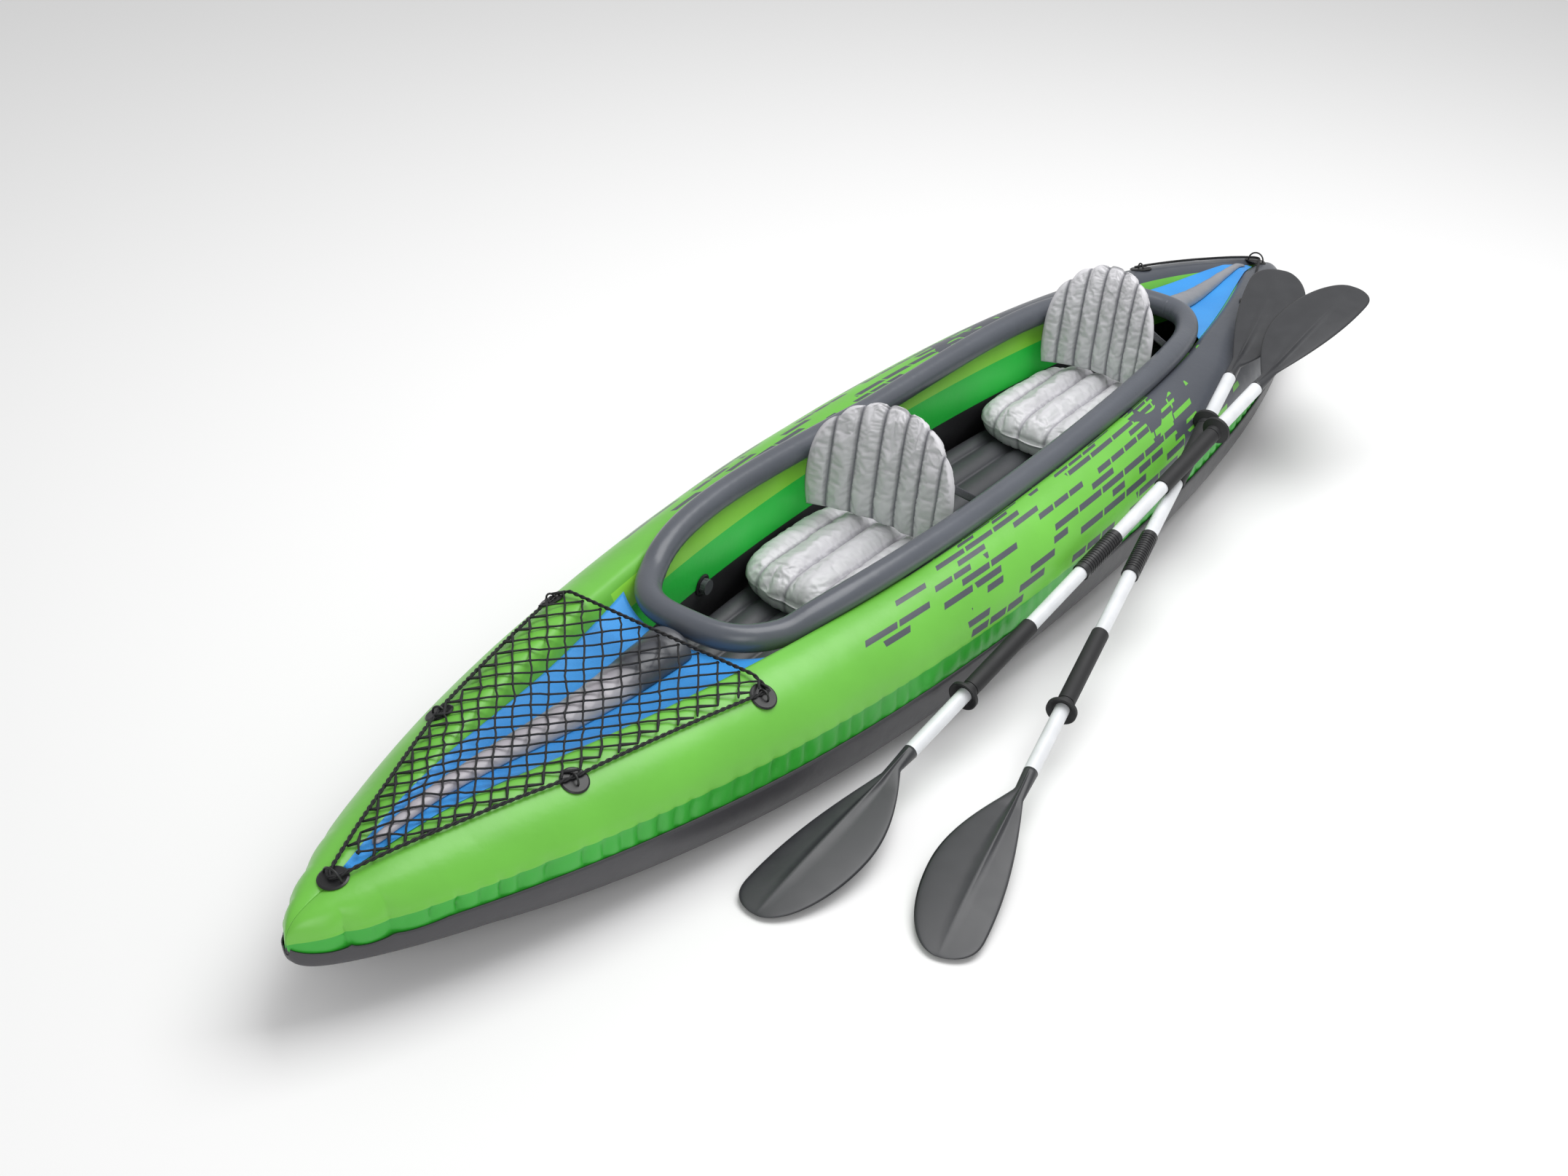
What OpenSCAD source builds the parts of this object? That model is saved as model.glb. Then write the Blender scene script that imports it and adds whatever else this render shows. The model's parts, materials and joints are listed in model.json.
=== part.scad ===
// Inflatable two-seat kayak with two paddles leaning on its port side.
// Frame: +X to the bow, +Y to port, +Z up, origin on the keel amidships, millimetres.

/* [Hull] */
// Length of the hull over bow and stern
hull_len = 3510; // [3400:10:3700]
// Width of the hull over both side chambers
hull_beam = 760; // [730:5:800]
// Height of a side chamber amidships
side_h = 288; // [270:2:310]
// Width of a side chamber from its crown to its outer face
side_out = 128; // [118:1:138]
// Width of a side chamber from its crown to its cockpit face
side_in = 50; // [46:1:54]
// Lift of the underside at the bow tip
bow_rise = 126; // [105:1:140]
// Lift of the underside at the stern tip
stern_rise = 35; // [20:1:55]
// Thickness of the bottom skin
skin_t = 2.5; // [1.5:0.1:4]

/* [Floor] */
// Height of the inflated floor
floor_h = 92; // [80:1:100]
// Lengthwise beams in the floor
floor_beams = 6; // [4:1:8]
// Front end of the floor
floor_front = 1180; // [1050:10:1220]
// Rear end of the floor
floor_rear = -1300; // [-1340:10:-1200]

/* [Coaming] */
// Radius of the coaming's inflated roll
coaming_r = 27; // [22:1:32]
// Front of the coaming's centre line
coaming_front = 719; // [680:1:760]
// Rear of the coaming's centre line
coaming_rear = -1105; // [-1130:1:-1080]
// Half-width of the coaming's centre line
coaming_half = 207; // [198:1:214]
// Height of the coaming's centre line at its front
coaming_front_z = 276; // [262:1:290]
// Height of the coaming's centre line at its rear
coaming_rear_z = 284; // [270:1:300]

/* [Decks] */
// Thickness of a deck sheet
deck_t = 2; // [1:0.1:3]
// Half-width of the bow deck at the coaming
bow_deck_half = 174; // [166:1:182]
// Where the bow deck runs out
bow_deck_tip = 1615; // [1560:5:1618]
// Half-width of the stern deck at the coaming
stern_deck_half = 148; // [138:1:156]
// Where the stern deck runs out
stern_deck_tip = -1625; // [-1628:5:-1580]
// Width of the bow rib at the coaming
bow_rib_w = 112; // [90:2:130]
// Height of the bow rib at the coaming
bow_rib_h = 46; // [36:1:56]
// Width of the stern rib at the coaming
stern_rib_w = 70; // [56:2:84]
// Height of the stern rib at the coaming
stern_rib_h = 34; // [26:1:42]

/* [Cargo net] */
// Strand width of the net
strand_w = 3; // [2.4:0.1:3.6]
// Thickness of the net
strand_t = 2.4; // [1.8:0.1:3]
// Meshes across the net
net_across = 8; // [6:1:9]
// Rows of knots from the coaming to the bow
net_rows = 18; // [14:2:20]
// Rear edge of the net
net_rear = 806; // [796:1:830]
// Bow end of the net
net_front = 1590; // [1550:5:1610]
// Half-width of the net at its rear patches
net_rear_half = 244; // [230:1:255]
// Place along the hull of the middle patches
mid_patch_x = 1228; // [1180:4:1270]
// Half-width of the net at its middle patches
net_mid_half = 148; // [135:1:158]
// Diameter of the border cord and the grab line
cord_d = 6; // [5:0.5:8]
// Diameter of a round cord patch
patch_d = 54; // [44:1:60]

/* [Seats] */
// Length of a seat cushion
seat_len = 380; // [350:5:410]
// Greatest width of a seat cushion
seat_w = 380; // [340:2:390]
// Height of a seat cushion at its crown
seat_h = 98; // [88:1:108]
// Rear end of the front cushion
front_seat_x = -25; // [-60:5:20]
// Rear end of the rear cushion
rear_seat_x = -925; // [-960:5:-880]
// Channels along a cushion
seat_channels = 5; // [3:1:6]
// Width of the front backrest
front_back_w = 368; // [330:2:370]
// Width of the rear backrest
rear_back_w = 288; // [250:2:290]
// Height of a backrest
back_h = 262; // [230:2:300]
// Thickness of a backrest
back_t = 58; // [46:1:66]
// How far a backrest's sides wrap forward
back_wrap = 44; // [20:1:60]
// Backward lean of a backrest in degrees
back_lean = 6; // [0:1:12]
// Upright channels in a backrest
back_channels = 7; // [5:1:8]
// Width of a strap
strap_w = 20; // [15:1:25]

/* [Paddles] */
// Length of a paddle over both blades
paddle_len = 2390; // [2300:10:2450]
// Diameter of the shaft
shaft_d = 30; // [28:0.5:32]
// Wall of the shaft tube
shaft_wall = 1.6; // [1.2:0.1:2.2]
// Length of a blade with its neck
blade_len = 495; // [450:5:520]
// Width of a blade
blade_w = 172; // [150:2:186]
// Length of a grip sleeve
grip_len = 220; // [180:5:240]
// Diameter of a grip sleeve
grip_d = 36; // [34:0.5:40]
// Diameter of a drip ring's flange
drip_d = 62; // [54:1:66]
// Length of the centre coupling
coupling_len = 140; // [110:5:160]
// Diameter of the centre coupling
coupling_d = 37; // [36:0.5:40]

/* [Hidden] */
$fn = 48;

// Clearance between neighbouring pieces
gap = 0.4;

// Hull lines: the plan's fineness and fullness, the flat of the keel, the sheer and the nose.
// Places along the hull are drawn for drawn_len and move with the hull's length; half-widths
// inside it are drawn for a crown line drawn_crown off the middle and move with that line
half_len = hull_len / 2;
drawn_len = 3510;
stretch = hull_len / drawn_len;
function station(x) = x * stretch;
drawn_crown = 252;
widen = (hull_beam / 2 - side_out) / drawn_crown;
function abeam(y) = y * widen;
bow_fine = 1.844;
bow_full = 0.682;
stern_fine = 2.309;
stern_full = 0.614;
keel_flat = 0.3;
bow_drop = 0.67;
stern_drop = 0.5;
nose_power = 80;
nose_round = 0.4;
end_share = 0.75;
end_at = 0.9985;
hull_stations = 36;
hull_sides = 16;
step_f = 360 / hull_sides;
skin_edge_f = -step_f;

function along(x) = min(abs(x) / half_len, 1);
function half_beam(x) =
    hull_beam / 2 * pow(1 - pow(along(x), x > 0 ? bow_fine : stern_fine), x > 0 ? bow_full : stern_full);
function keel_lift(x) =
    (x > 0 ? bow_rise : stern_rise) * pow(max(0, (along(x) - keel_flat) / (1 - keel_flat)), 2);
function full_b(x) = side_h / 2 * (1 - (x > 0 ? bow_drop : stern_drop) * pow(along(x), 4));
function side_b(x) = full_b(x) * pow(1 - pow(along(x), nose_power), nose_round);
function side_a(x) = min(side_out, end_share * half_beam(x));
function crown_y(x) = half_beam(x) - side_a(x);
function side_zc(x) = skin_t + gap + keel_lift(x) + full_b(x);
function crown_z(x) = side_zc(x) + side_b(x);

// Point on a side chamber's section at angle f from its outer side, grown outwards by o
function side_y(x, f, o = 0) = crown_y(x) + ((cos(f) > 0 ? side_a(x) : side_in) + o) * cos(f);
function side_pt(x, f, o = 0) = [x, side_y(x, f, o), side_zc(x) + (side_b(x) + o) * sin(f)];
function side_normal(x, f) =
    let (u = side_pt(x + 1, f) - side_pt(x - 1, f),
         v = side_pt(x, f + 1) - side_pt(x, f - 1),
         n = cross(v, u))
    n / norm(n);

// Height of a side chamber's upper surface at y, and its cockpit face at height z
function side_z(x, y) =
    let (c = (y - crown_y(x)) / (y > crown_y(x) ? side_a(x) : side_in))
    side_zc(x) + side_b(x) * sqrt(max(0, 1 - c * c));
function over_z(x, y) = y < crown_y(x) ? crown_z(x) : side_z(x, y);
function wall_f(x, z) = 180 - asin((z - side_zc(x)) / side_b(x));

function hull_x(i) = half_len * end_at * sin(90 * (2 * i / hull_stations - 1));
function mix(a, b, t) = a + (b - a) * t;
function clamp(v) = max(0, min(1, v));
function pad_swell(s, p) = sqrt(max(0, 1 - pow(abs(s), p)));
function soft_max(a, b, k) = (a + b + sqrt((a - b) * (a - b) + k * k)) / 2;

// Skin of a loft: m rings of n points, each ring counterclockwise seen from the far end
function loft_walls(m, n, closed) = [
    for (i = [0 : closed ? m - 1 : m - 2], j = [0 : n - 1])
        let (a = i * n + j,
             b = i * n + (j + 1) % n,
             c = (i + 1) % m * n + j,
             d = (i + 1) % m * n + (j + 1) % n)
            each [[a, c, d], [a, d, b]]
];
function cap_fan(n) = [for (j = [1 : n - 2]) [0, j, j + 1]];
function cap_band(n) = [
    for (k = [0 : n / 2 - 2]) each [[k, k + 1, n - 2 - k], [k, n - 2 - k, n - 1 - k]]
];
module loft(rings, cap) {
    m = len(rings);
    n = len(rings[0]);
    last = (m - 1) * n;
    far_cap = [for (t = cap) [last + t[2], last + t[1], last + t[0]]];
    polyhedron([for (r = rings) each r], concat(cap, loft_walls(m, n, false), far_cap));
}
module slab(rings) {
    loft(rings, cap_band(len(rings[0])));
}
module loop(rings) {
    polyhedron([for (r = rings) each r], loft_walls(len(rings), len(rings[0]), true));
}
function backwards(list) = [for (i = [len(list) - 1 : -1 : 0]) list[i]];

// Stand a piece on a surface point with its own +Z along the normal n
module stand_on(p, n) {
    translate(p) rotate([0, acos(n.z), atan2(n.y, n.x)]) children();
}

// Side chambers: two lofted air chambers that meet along the centre line at bow and stern
module side_chamber() {
    seam = gap / 2;
    rings = [
        for (i = [0 : hull_stations])
            let (x = hull_x(i))
                [for (k = [0 : hull_sides - 1]) let (p = side_pt(x, k * step_f)) [p.x, max(p.y, seam), p.z]]
    ];
    loft(rings, cap_fan(hull_sides));
}
module port_chamber() {
    color("yellowgreen") side_chamber();
}
module starboard_chamber() {
    color("yellowgreen") mirror([0, 1, 0]) side_chamber();
}

// Bottom skin: a heavy sheet under the floor that wraps up round both side chambers
skin_ease = 0.5;
nose_ease = 2;
function skin_gap(x) = skin_ease + nose_ease * pow(along(x), 6);
function skin_path(x, o) =
    let (f0 = -90,
         n = (skin_edge_f - f0) / step_f,
         port = [for (k = [0 : n]) side_pt(x, f0 + k * step_f, o)],
         keel_z = side_zc(x) - side_b(x) - o,
         half = [[x, crown_y(x) / 2, keel_z], each port])
    concat(backwards([for (p = half) [p.x, -p.y, p.z]]), [[x, 0, keel_z]], half);
module bottom_skin() {
    rings = [
        for (i = [0 : hull_stations])
            let (x = hull_x(i))
                concat(skin_path(x, skin_gap(x) + skin_t), backwards(skin_path(x, skin_gap(x))))
    ];
    color("dimgray") slab(rings);
}

// Floor: an air mattress of lengthwise beams, flat below and scalloped above
floor_steps = 16;
floor_pts = 3;
floor_edge = 0.5;
floor_valley = 0.16;
floor_round = 0.6;
floor_square = 8;
floor_clear = 4;
floor_z = skin_t + gap;
function floor_half(x) = crown_y(x) - side_in - floor_clear;
function floor_swell(s) =
    let (beam = pow(abs(sin(90 * floor_beams * (s + 1))), floor_round),
         edge = sqrt(1 - pow(abs(s), floor_square)))
    floor_edge + (1 - floor_edge) * edge - floor_valley * (1 - beam) * edge;
floor_cols = floor_beams * floor_pts;
floor_across = [for (k = [0 : floor_cols]) 2 * k / floor_cols - 1];
floor_crest = max([for (s = floor_across) floor_swell(s)]);
floor_top = floor_z + gap + (floor_h - gap) * floor_crest;
module floor_chamber() {
    rings = [
        for (i = [0 : floor_steps])
            let (x = station(mix(floor_rear, floor_front, i / floor_steps)),
                 w = floor_half(x),
                 z = floor_z + keel_lift(x) + gap)
                concat([for (s = floor_across) [x, w * s, z]],
                       backwards([for (s = floor_across) [x, w * s, z + (floor_h - gap) * floor_swell(s)]]))
    ];
    color("dimgray") slab(rings);
}

// Coaming: one inflated roll round the cockpit, lying on the side chambers' inner shoulders
coaming_steps = 56;
coaming_sides = 10;
front_flare = 0.149;
rear_taper = 0.08;
front_square = 3.17;
rear_square = 3.2;
coaming_soft = 8;
coaming_ease = 1.6;
coaming_mid = station(coaming_front + coaming_rear) / 2;
coaming_reach = station(coaming_front - coaming_rear) / 2;
function coaming_plan(q) =
    let (n = cos(q) > 0 ? front_square : rear_square,
         u = sign(cos(q)) * pow(abs(cos(q)), 2 / n),
         v = sign(sin(q)) * pow(abs(sin(q)), 2 / n),
         flare = u > 0 ? front_flare : rear_taper)
    [coaming_mid + coaming_reach * u, abeam(coaming_half) * (1 + flare * u) * v];
function coaming_z(p) =
    let (r = coaming_r + gap + coaming_ease,
         c = (abs(p.y) - crown_y(p.x)) / (side_in + r),
         on_side = side_zc(p.x) + (side_b(p.x) + r) * sqrt(max(0, 1 - c * c)),
         ahead = clamp(0.5 + (p.x - coaming_mid) / (2 * coaming_reach)),
         free = mix(coaming_rear_z, coaming_front_z, ahead))
    soft_max(on_side, free, coaming_soft);
function coaming_at(q) = let (p = coaming_plan(q)) [p.x, p.y, coaming_z(p)];
module coaming() {
    rings = [
        for (i = [0 : coaming_steps - 1])
            let (q = 360 * i / coaming_steps,
                 p = coaming_at(q),
                 d = coaming_plan(q + 0.5) - coaming_plan(q - 0.5),
                 out = [d.y, -d.x, 0] / norm(d))
                [for (k = [0 : coaming_sides - 1])
                    let (f = 360 * k / coaming_sides)
                        p + coaming_r * (-out * cos(f) + [0, 0, sin(f)])]
    ];
    color("slategray") loop(rings);
}

// Deck sheets: thin cloth between the side chambers, from the coaming to a point at the tip
deck_steps = 10;
deck_cols = 10;
deck_gap = 0.9;
deck_dip = 0.09;
deck_tip_half = 7;
bow_deck_clear = 6;
bow_deck_start = station(coaming_front) + coaming_r + bow_deck_clear;
bow_deck_bow = 58;
bow_deck_end = station(bow_deck_tip);
bow_half = abeam(bow_deck_half);
stern_deck_clear = 9;
stern_deck_start = station(coaming_rear) - coaming_r - stern_deck_clear;
stern_deck_bow = 90;
stern_deck_end = station(stern_deck_tip);
stern_half = abeam(stern_deck_half);
function deck_plan(start, bow, half, tip, u, v) =
    [mix(start - sign(tip) * bow * u * u, tip, v), u * mix(half, deck_tip_half, v)];
function deck_edge_z(start, bow, half, tip, v) =
    let (p = deck_plan(start, bow, half, tip, 1, v)) side_z(p.x, p.y) + deck_gap;
function deck_pt(start, bow, half, tip, u, v) =
    let (p = deck_plan(start, bow, half, tip, u, v), dip = deck_dip * mix(half, deck_tip_half, v))
    [p.x, p.y, deck_edge_z(start, bow, half, tip, v) - dip * (1 - pow(u, 4))];
module deck_sheet(start, bow, half, tip) {
    rings = [
        for (i = [0 : deck_steps])
            let (v = i / deck_steps,
                 low = [for (k = [0 : deck_cols]) deck_pt(start, bow, half, tip, 2 * k / deck_cols - 1, v)],
                 high = [for (p = low) p + [0, 0, deck_t]])
                concat(low, backwards(high))
    ];
    slab(tip > 0 ? rings : backwards(rings));
}
module bow_deck_sheet() {
    color("dodgerblue") deck_sheet(bow_deck_start, bow_deck_bow, bow_half, bow_deck_end);
}
module stern_deck_sheet() {
    color("dodgerblue") deck_sheet(stern_deck_start, stern_deck_bow, stern_half, stern_deck_end);
}

// Ribs: inflated rolls on the decks' centre lines, thick at the coaming and fine at the tip
rib_steps = 10;
rib_cols = 8;
rib_fine = 0.1;
rib_start = 0.005;
rib_end = 0.93;
rib_lip = 0.6;
bow_rib_gap = 1.4;
stern_rib_gap = 1.3;
rib_run = 0.9;
function bow_deck_pt(u, v) =
    deck_pt(bow_deck_start, bow_deck_bow, bow_half, bow_deck_end, u, v);
function stern_deck_pt(u, v) =
    deck_pt(stern_deck_start, stern_deck_bow, stern_half, stern_deck_end, u, v);
function rib_taper(v) = mix(1, rib_fine, pow(v, rib_run));
module deck_rib(mids, w, h, lift) {
    rings = [
        for (i = [0 : rib_steps])
            let (t = rib_taper(mix(rib_start, rib_end, i / rib_steps)),
                 p = mids[i] + [0, 0, deck_t + lift],
                 half = w / 2 * t,
                 ss = [for (k = [0 : rib_cols]) -cos(180 * k / rib_cols)])
                concat([for (s = ss) p + [0, s * half, 0]],
                       backwards([for (s = ss) p + [0, s * half, rib_lip + h * t * pad_swell(s, 2)]]))
    ];
    slab(mids[1].x > mids[0].x ? rings : backwards(rings));
}
bow_rib_mids = [for (i = [0 : rib_steps]) bow_deck_pt(0, mix(rib_start, rib_end, i / rib_steps))];
stern_rib_mids = [for (i = [0 : rib_steps]) stern_deck_pt(0, mix(rib_start, rib_end, i / rib_steps))];
module bow_rib() {
    color("darkgray") deck_rib(bow_rib_mids, bow_rib_w, bow_rib_h, bow_rib_gap);
}
module stern_rib() {
    color("darkgray") deck_rib(stern_rib_mids, stern_rib_w, stern_rib_h, stern_rib_gap);
}

// Cargo net: one sheet of diamond meshes stretched over the bow deck, rib and side chambers
net_over = 5;
net_tip_x = station(1655);
net_start = station(net_rear);
net_end = station(net_front);
mid_x = station(mid_patch_x);
mid_half = abeam(net_mid_half);
rear_half = abeam(net_rear_half);
net_inset = 2;
hole_most = 0.7;
function net_edge(x) =
    x > mid_x
        ? mix(mid_half, 0, (x - mid_x) / (net_tip_x - mid_x))
        : mix(rear_half, mid_half, (x - net_start) / (mid_x - net_start));
function bow_v(x) = clamp((x - bow_deck_start) / (bow_deck_end - bow_deck_start));
function rib_surface(x, y) =
    let (v = bow_v(x),
         c = 2 * y / (bow_rib_w * rib_taper(v)),
         foot = bow_deck_pt(0, v).z + deck_t + bow_rib_gap)
    foot + rib_lip + bow_rib_h * rib_taper(v) * pad_swell(min(1, c), 2);
function net_z(x, y) =
    let (top = rib_surface(x, 0),
         rise = clamp(abs(y) / max(1, crown_y(x))),
         tent = mix(top, crown_z(x), rise))
    net_over + strand_t + max(tent, rib_surface(x, y), side_z(x, abs(y)));
function net_knot(r, c) =
    let (x = mix(net_start, net_end, r / net_rows),
         y = (2 * c / net_across - 1) * (net_edge(x) - net_inset))
    [x, y, net_z(x, y)];
net_meshes = concat(
    [for (r = [0 : 2 : net_rows - 2], c = [1 : net_across - 1])
        [net_knot(r, c), net_knot(r + 1, c + 0.5), net_knot(r + 2, c), net_knot(r + 1, c - 0.5)]],
    [for (r = [1 : 2 : net_rows - 3], c = [0 : net_across - 1])
        [net_knot(r, c + 0.5), net_knot(r + 1, c + 1), net_knot(r + 2, c + 0.5), net_knot(r + 1, c)]],
    [for (r = [0 : 2 : net_rows - 2]) [net_knot(r, 0), net_knot(r + 1, 0.5), net_knot(r + 2, 0)]],
    [for (r = [0 : 2 : net_rows - 2])
        [net_knot(r, net_across), net_knot(r + 2, net_across), net_knot(r + 1, net_across - 0.5)]],
    [for (c = [0 : net_across - 1]) [net_knot(0, c), net_knot(0, c + 1), net_knot(1, c + 0.5)]],
    [for (c = [0 : net_across - 1])
        [net_knot(net_rows, c), net_knot(net_rows - 1, c + 0.5), net_knot(net_rows, c + 1)]]
);
function middle(pts) = [for (p = pts) 1] * pts / len(pts);
function edge_away(m, a, b) = let (d = b - a, e = m - a) abs(d.x * e.y - d.y * e.x) / norm([d.x, d.y]);
function hole(pts) =
    let (m = middle(pts),
         n = len(pts),
         away = min([for (i = [0 : n - 1]) edge_away(m, pts[i], pts[(i + 1) % n])]),
         s = 1 - min(hole_most, strand_w / 2 / away))
    [for (p = pts) m + (p - m) * s];
net_rim = concat(
    [for (c = [0 : net_across]) net_knot(0, c)],
    [for (r = [2 : 2 : net_rows]) net_knot(r, net_across)],
    [for (c = [net_across - 1 : -1 : 0]) net_knot(net_rows, c)],
    [for (r = [net_rows - 2 : -2 : 2]) net_knot(r, 0)]
);
net_down = [0, 0, -strand_t];
net_faces = concat(
    [for (pts = net_meshes) let (h = hole(pts), n = len(pts)) for (i = [0 : n - 1])
        let (a = pts[i], b = pts[(i + 1) % n], c = h[i], d = h[(i + 1) % n], w = net_down)
            each [[a, b, d], [a, d, c], [a + w, d + w, b + w], [a + w, c + w, d + w],
                  [c, d, d + w], [c, d + w, c + w]]],
    [for (i = [0 : len(net_rim) - 1])
        let (a = net_rim[i], b = net_rim[(i + 1) % len(net_rim)], w = net_down)
            each [[a, b + w, b], [a, a + w, b + w]]]
);
module cargo_net() {
    corners = [for (f = net_faces) each f];
    color("black") polyhedron(corners, [for (i = [0 : 3 : len(corners) - 1]) [i, i + 1, i + 2]]);
}

// Cords: a tube swept along a closed or open line of points
cord_sides = 6;
cord_r = cord_d / 2;
function cord_ring(p, d) =
    let (t = d / norm(d),
         s = cross(t, [0, 0, 1]) / norm(cross(t, [0, 0, 1])),
         n = cross(t, s))
    [for (k = [0 : cord_sides - 1]) let (f = 360 * k / cord_sides) p + cord_r * (s * cos(f) + n * sin(f))];
function closed_cord(pts) =
    let (n = len(pts))
    [for (i = [0 : n - 1]) cord_ring(pts[i], pts[(i + 1) % n] - pts[(i + n - 1) % n])];
function open_cord(pts) =
    let (n = len(pts))
    [for (i = [0 : n - 1]) cord_ring(pts[i], pts[min(i + 1, n - 1)] - pts[max(i - 1, 0)])];

// Net border: a doubled cord round the net, held under the loops of the round patches
border_steps = 16;
border_rear_steps = 14;
patch_t = 3;
cord_lean = 1.3;
cord_over = cord_lean * (patch_t + 2 * gap + cord_r);
function border_y(x) = net_edge(x) + cord_r + strand_w;
function border_pt(x, side) = let (y = border_y(x)) [x, side * y, over_z(x, y) + cord_over];
nose_in = 12;
net_nose_x = net_tip_x - nose_in;
border_rear_x = net_start - cord_r - gap;
function rear_pt(y) = [border_rear_x, y, net_z(border_rear_x, y) + cord_r / 2];
border_side = [for (i = [0 : border_steps]) mix(border_rear_x, net_nose_x, i / border_steps)];
net_tip = [net_tip_x, 0, crown_z(net_tip_x) + cord_over];
rear_ys = [
    for (k = [1 : border_rear_steps - 1]) (2 * k / border_rear_steps - 1) * border_y(border_rear_x)
];
module net_border_cord() {
    route = concat(
        [for (x = border_side) border_pt(x, 1)],
        [net_tip],
        backwards([for (x = border_side) border_pt(x, -1)]),
        [for (y = rear_ys) rear_pt(y)]
    );
    color("black") loop(closed_cord(route));
}

// Round patches, each a welded disc with a loop over its cord
loop_wire = 2;
loop_room = 6;
loop_r = 2 * cord_r + loop_room;
tip_loop_room = 14;
tip_loop_r = 2 * cord_r + tip_loop_room;
patch_rim = 1.2;
patch_slope = 3;
module cord_patch(turn, r) {
    rotate_extrude()
        polygon([[0, 0], [patch_d / 2, 0], [patch_d / 2, patch_rim], [patch_d / 2 - patch_slope, patch_t],
                 [0, patch_t]]);
    translate([0, 0, patch_t - loop_wire / 2])
        rotate([90, 0, turn])
            rotate_extrude(angle = 180) translate([r, 0]) circle(loop_wire);
}
function edge_f(x) = acos((border_y(x) - crown_y(x)) / side_a(x));
module edge_patch(x) {
    f = edge_f(x);
    n = side_normal(x, f);
    stand_on(side_pt(x, f) + n * gap, n) cord_patch(0, loop_r);
}
patch_in = 10;
slope_run = 20;
net_patch_x = net_tip_x - patch_in;
tip_slope = atan((crown_z(net_patch_x - slope_run) - crown_z(net_patch_x + slope_run)) / (2 * slope_run));
rear_patch_x = net_start + patch_in;
module net_patches() {
    color("black") {
        for (side = [0, 1]) mirror([0, side, 0]) {
            edge_patch(rear_patch_x);
            edge_patch(mid_x);
        }
        stand_on([net_patch_x, 0, crown_z(net_patch_x) + gap], [sin(tip_slope), 0, cos(tip_slope)])
            cord_patch(90, tip_loop_r);
    }
}

// Stern grab line: a cord from a patch on each quarter to one on the stern tip
grab_x = station(-1310);
grab_half = abeam(150);
grab_tip_x = station(-1672);
grab_ahead = 24;
grab_short = 8;
grab_steps = 10;
grab_tip_half = 5;
function grab_y(x) = mix(grab_half, grab_tip_half, (x - grab_x) / (grab_tip_x - grab_x));
function grab_pt(x, side) = let (y = grab_y(x)) [x, side * y, over_z(x, y) + cord_over];
grab_xs = [for (i = [0 : grab_steps]) mix(grab_x + grab_ahead, grab_tip_x + grab_short, i / grab_steps)];
module stern_grab_line() {
    route = concat(
        [for (x = grab_xs) grab_pt(x, 1)],
        [[grab_tip_x, 0, crown_z(grab_tip_x) + cord_over]],
        backwards([for (x = grab_xs) grab_pt(x, -1)])
    );
    color("black") loft(open_cord(route), cap_fan(cord_sides));
}
grab_patch_x = grab_tip_x + nose_in;
grab_slope = atan((crown_z(grab_patch_x + slope_run) - crown_z(grab_patch_x - slope_run)) / (2 * slope_run));
module stern_patches() {
    f = acos((grab_half - crown_y(grab_x)) / side_a(grab_x));
    n = side_normal(grab_x, f);
    color("black") {
        for (side = [0, 1]) mirror([0, side, 0])
            stand_on(side_pt(grab_x, f) + n * gap, n) cord_patch(0, loop_r);
        stand_on([grab_patch_x, 0, crown_z(grab_patch_x) + gap], [-sin(grab_slope), 0, cos(grab_slope)])
            cord_patch(90, tip_loop_r);
    }
}

// Inflation valves: a welded flange with a hollow neck, and a cap that screws over it
valve_x = station(430);
valve_z = 148;
floor_valve_x = station(585);
floor_bed = floor_top + 0.7;
valve_flange_d = 48;
valve_flange_t = 3;
flange_rim = 1;
flange_slope = 4;
valve_neck_d = 26;
valve_neck_h = 11;
valve_bore_d = 18;
cap_wall = 2.5;
cap_d = valve_neck_d + 2 * cap_wall + 2 * gap;
cap_h = 9;
cap_lip = 3;
cap_rib_w = 4;
cap_rib_out = 1;
cut_over = 1;
module valve_body() {
    difference() {
        union() {
            rotate_extrude()
                polygon([[0, 0], [valve_flange_d / 2, 0], [valve_flange_d / 2, flange_rim],
                         [valve_flange_d / 2 - flange_slope, valve_flange_t], [0, valve_flange_t]]);
            cylinder(d = valve_neck_d, h = valve_neck_h);
        }
        translate([0, 0, valve_flange_t / 2]) cylinder(d = valve_bore_d, h = valve_neck_h);
    }
}
module valve_cap() {
    translate([0, 0, valve_flange_t + gap])
        difference() {
            union() {
                cylinder(d = cap_d, h = cap_h + cap_lip);
                for (a = [0 : 45 : 135])
                    rotate([0, 0, a])
                        translate([-cap_d / 2 - cap_rib_out, -cap_rib_w / 2, 0])
                            cube([cap_d + 2 * cap_rib_out, cap_rib_w, cap_h]);
            }
            translate([0, 0, -cut_over])
                cylinder(d = valve_neck_d + 2 * gap, h = valve_neck_h - valve_flange_t + cut_over);
        }
}
wall_gap = 0.6;
module on_wall(x, z) {
    f = wall_f(x, z);
    n = side_normal(x, f);
    stand_on(side_pt(x, f) + n * wall_gap, n) children();
}
module on_floor(x) {
    translate([x, 0, floor_bed + keel_lift(x) + gap]) children();
}
module port_valve() {
    color("black") on_wall(valve_x, valve_z) valve_body();
}
module starboard_valve() {
    color("black") mirror([0, 1, 0]) on_wall(valve_x, valve_z) valve_body();
}
module floor_valve() {
    color("black") on_floor(floor_valve_x) valve_body();
}
module port_valve_cap() {
    color("gray") on_wall(valve_x, valve_z) valve_cap();
}
module starboard_valve_cap() {
    color("gray") mirror([0, 1, 0]) on_wall(valve_x, valve_z) valve_cap();
}
module floor_valve_cap() {
    color("gray") on_floor(floor_valve_x) valve_cap();
}

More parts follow.
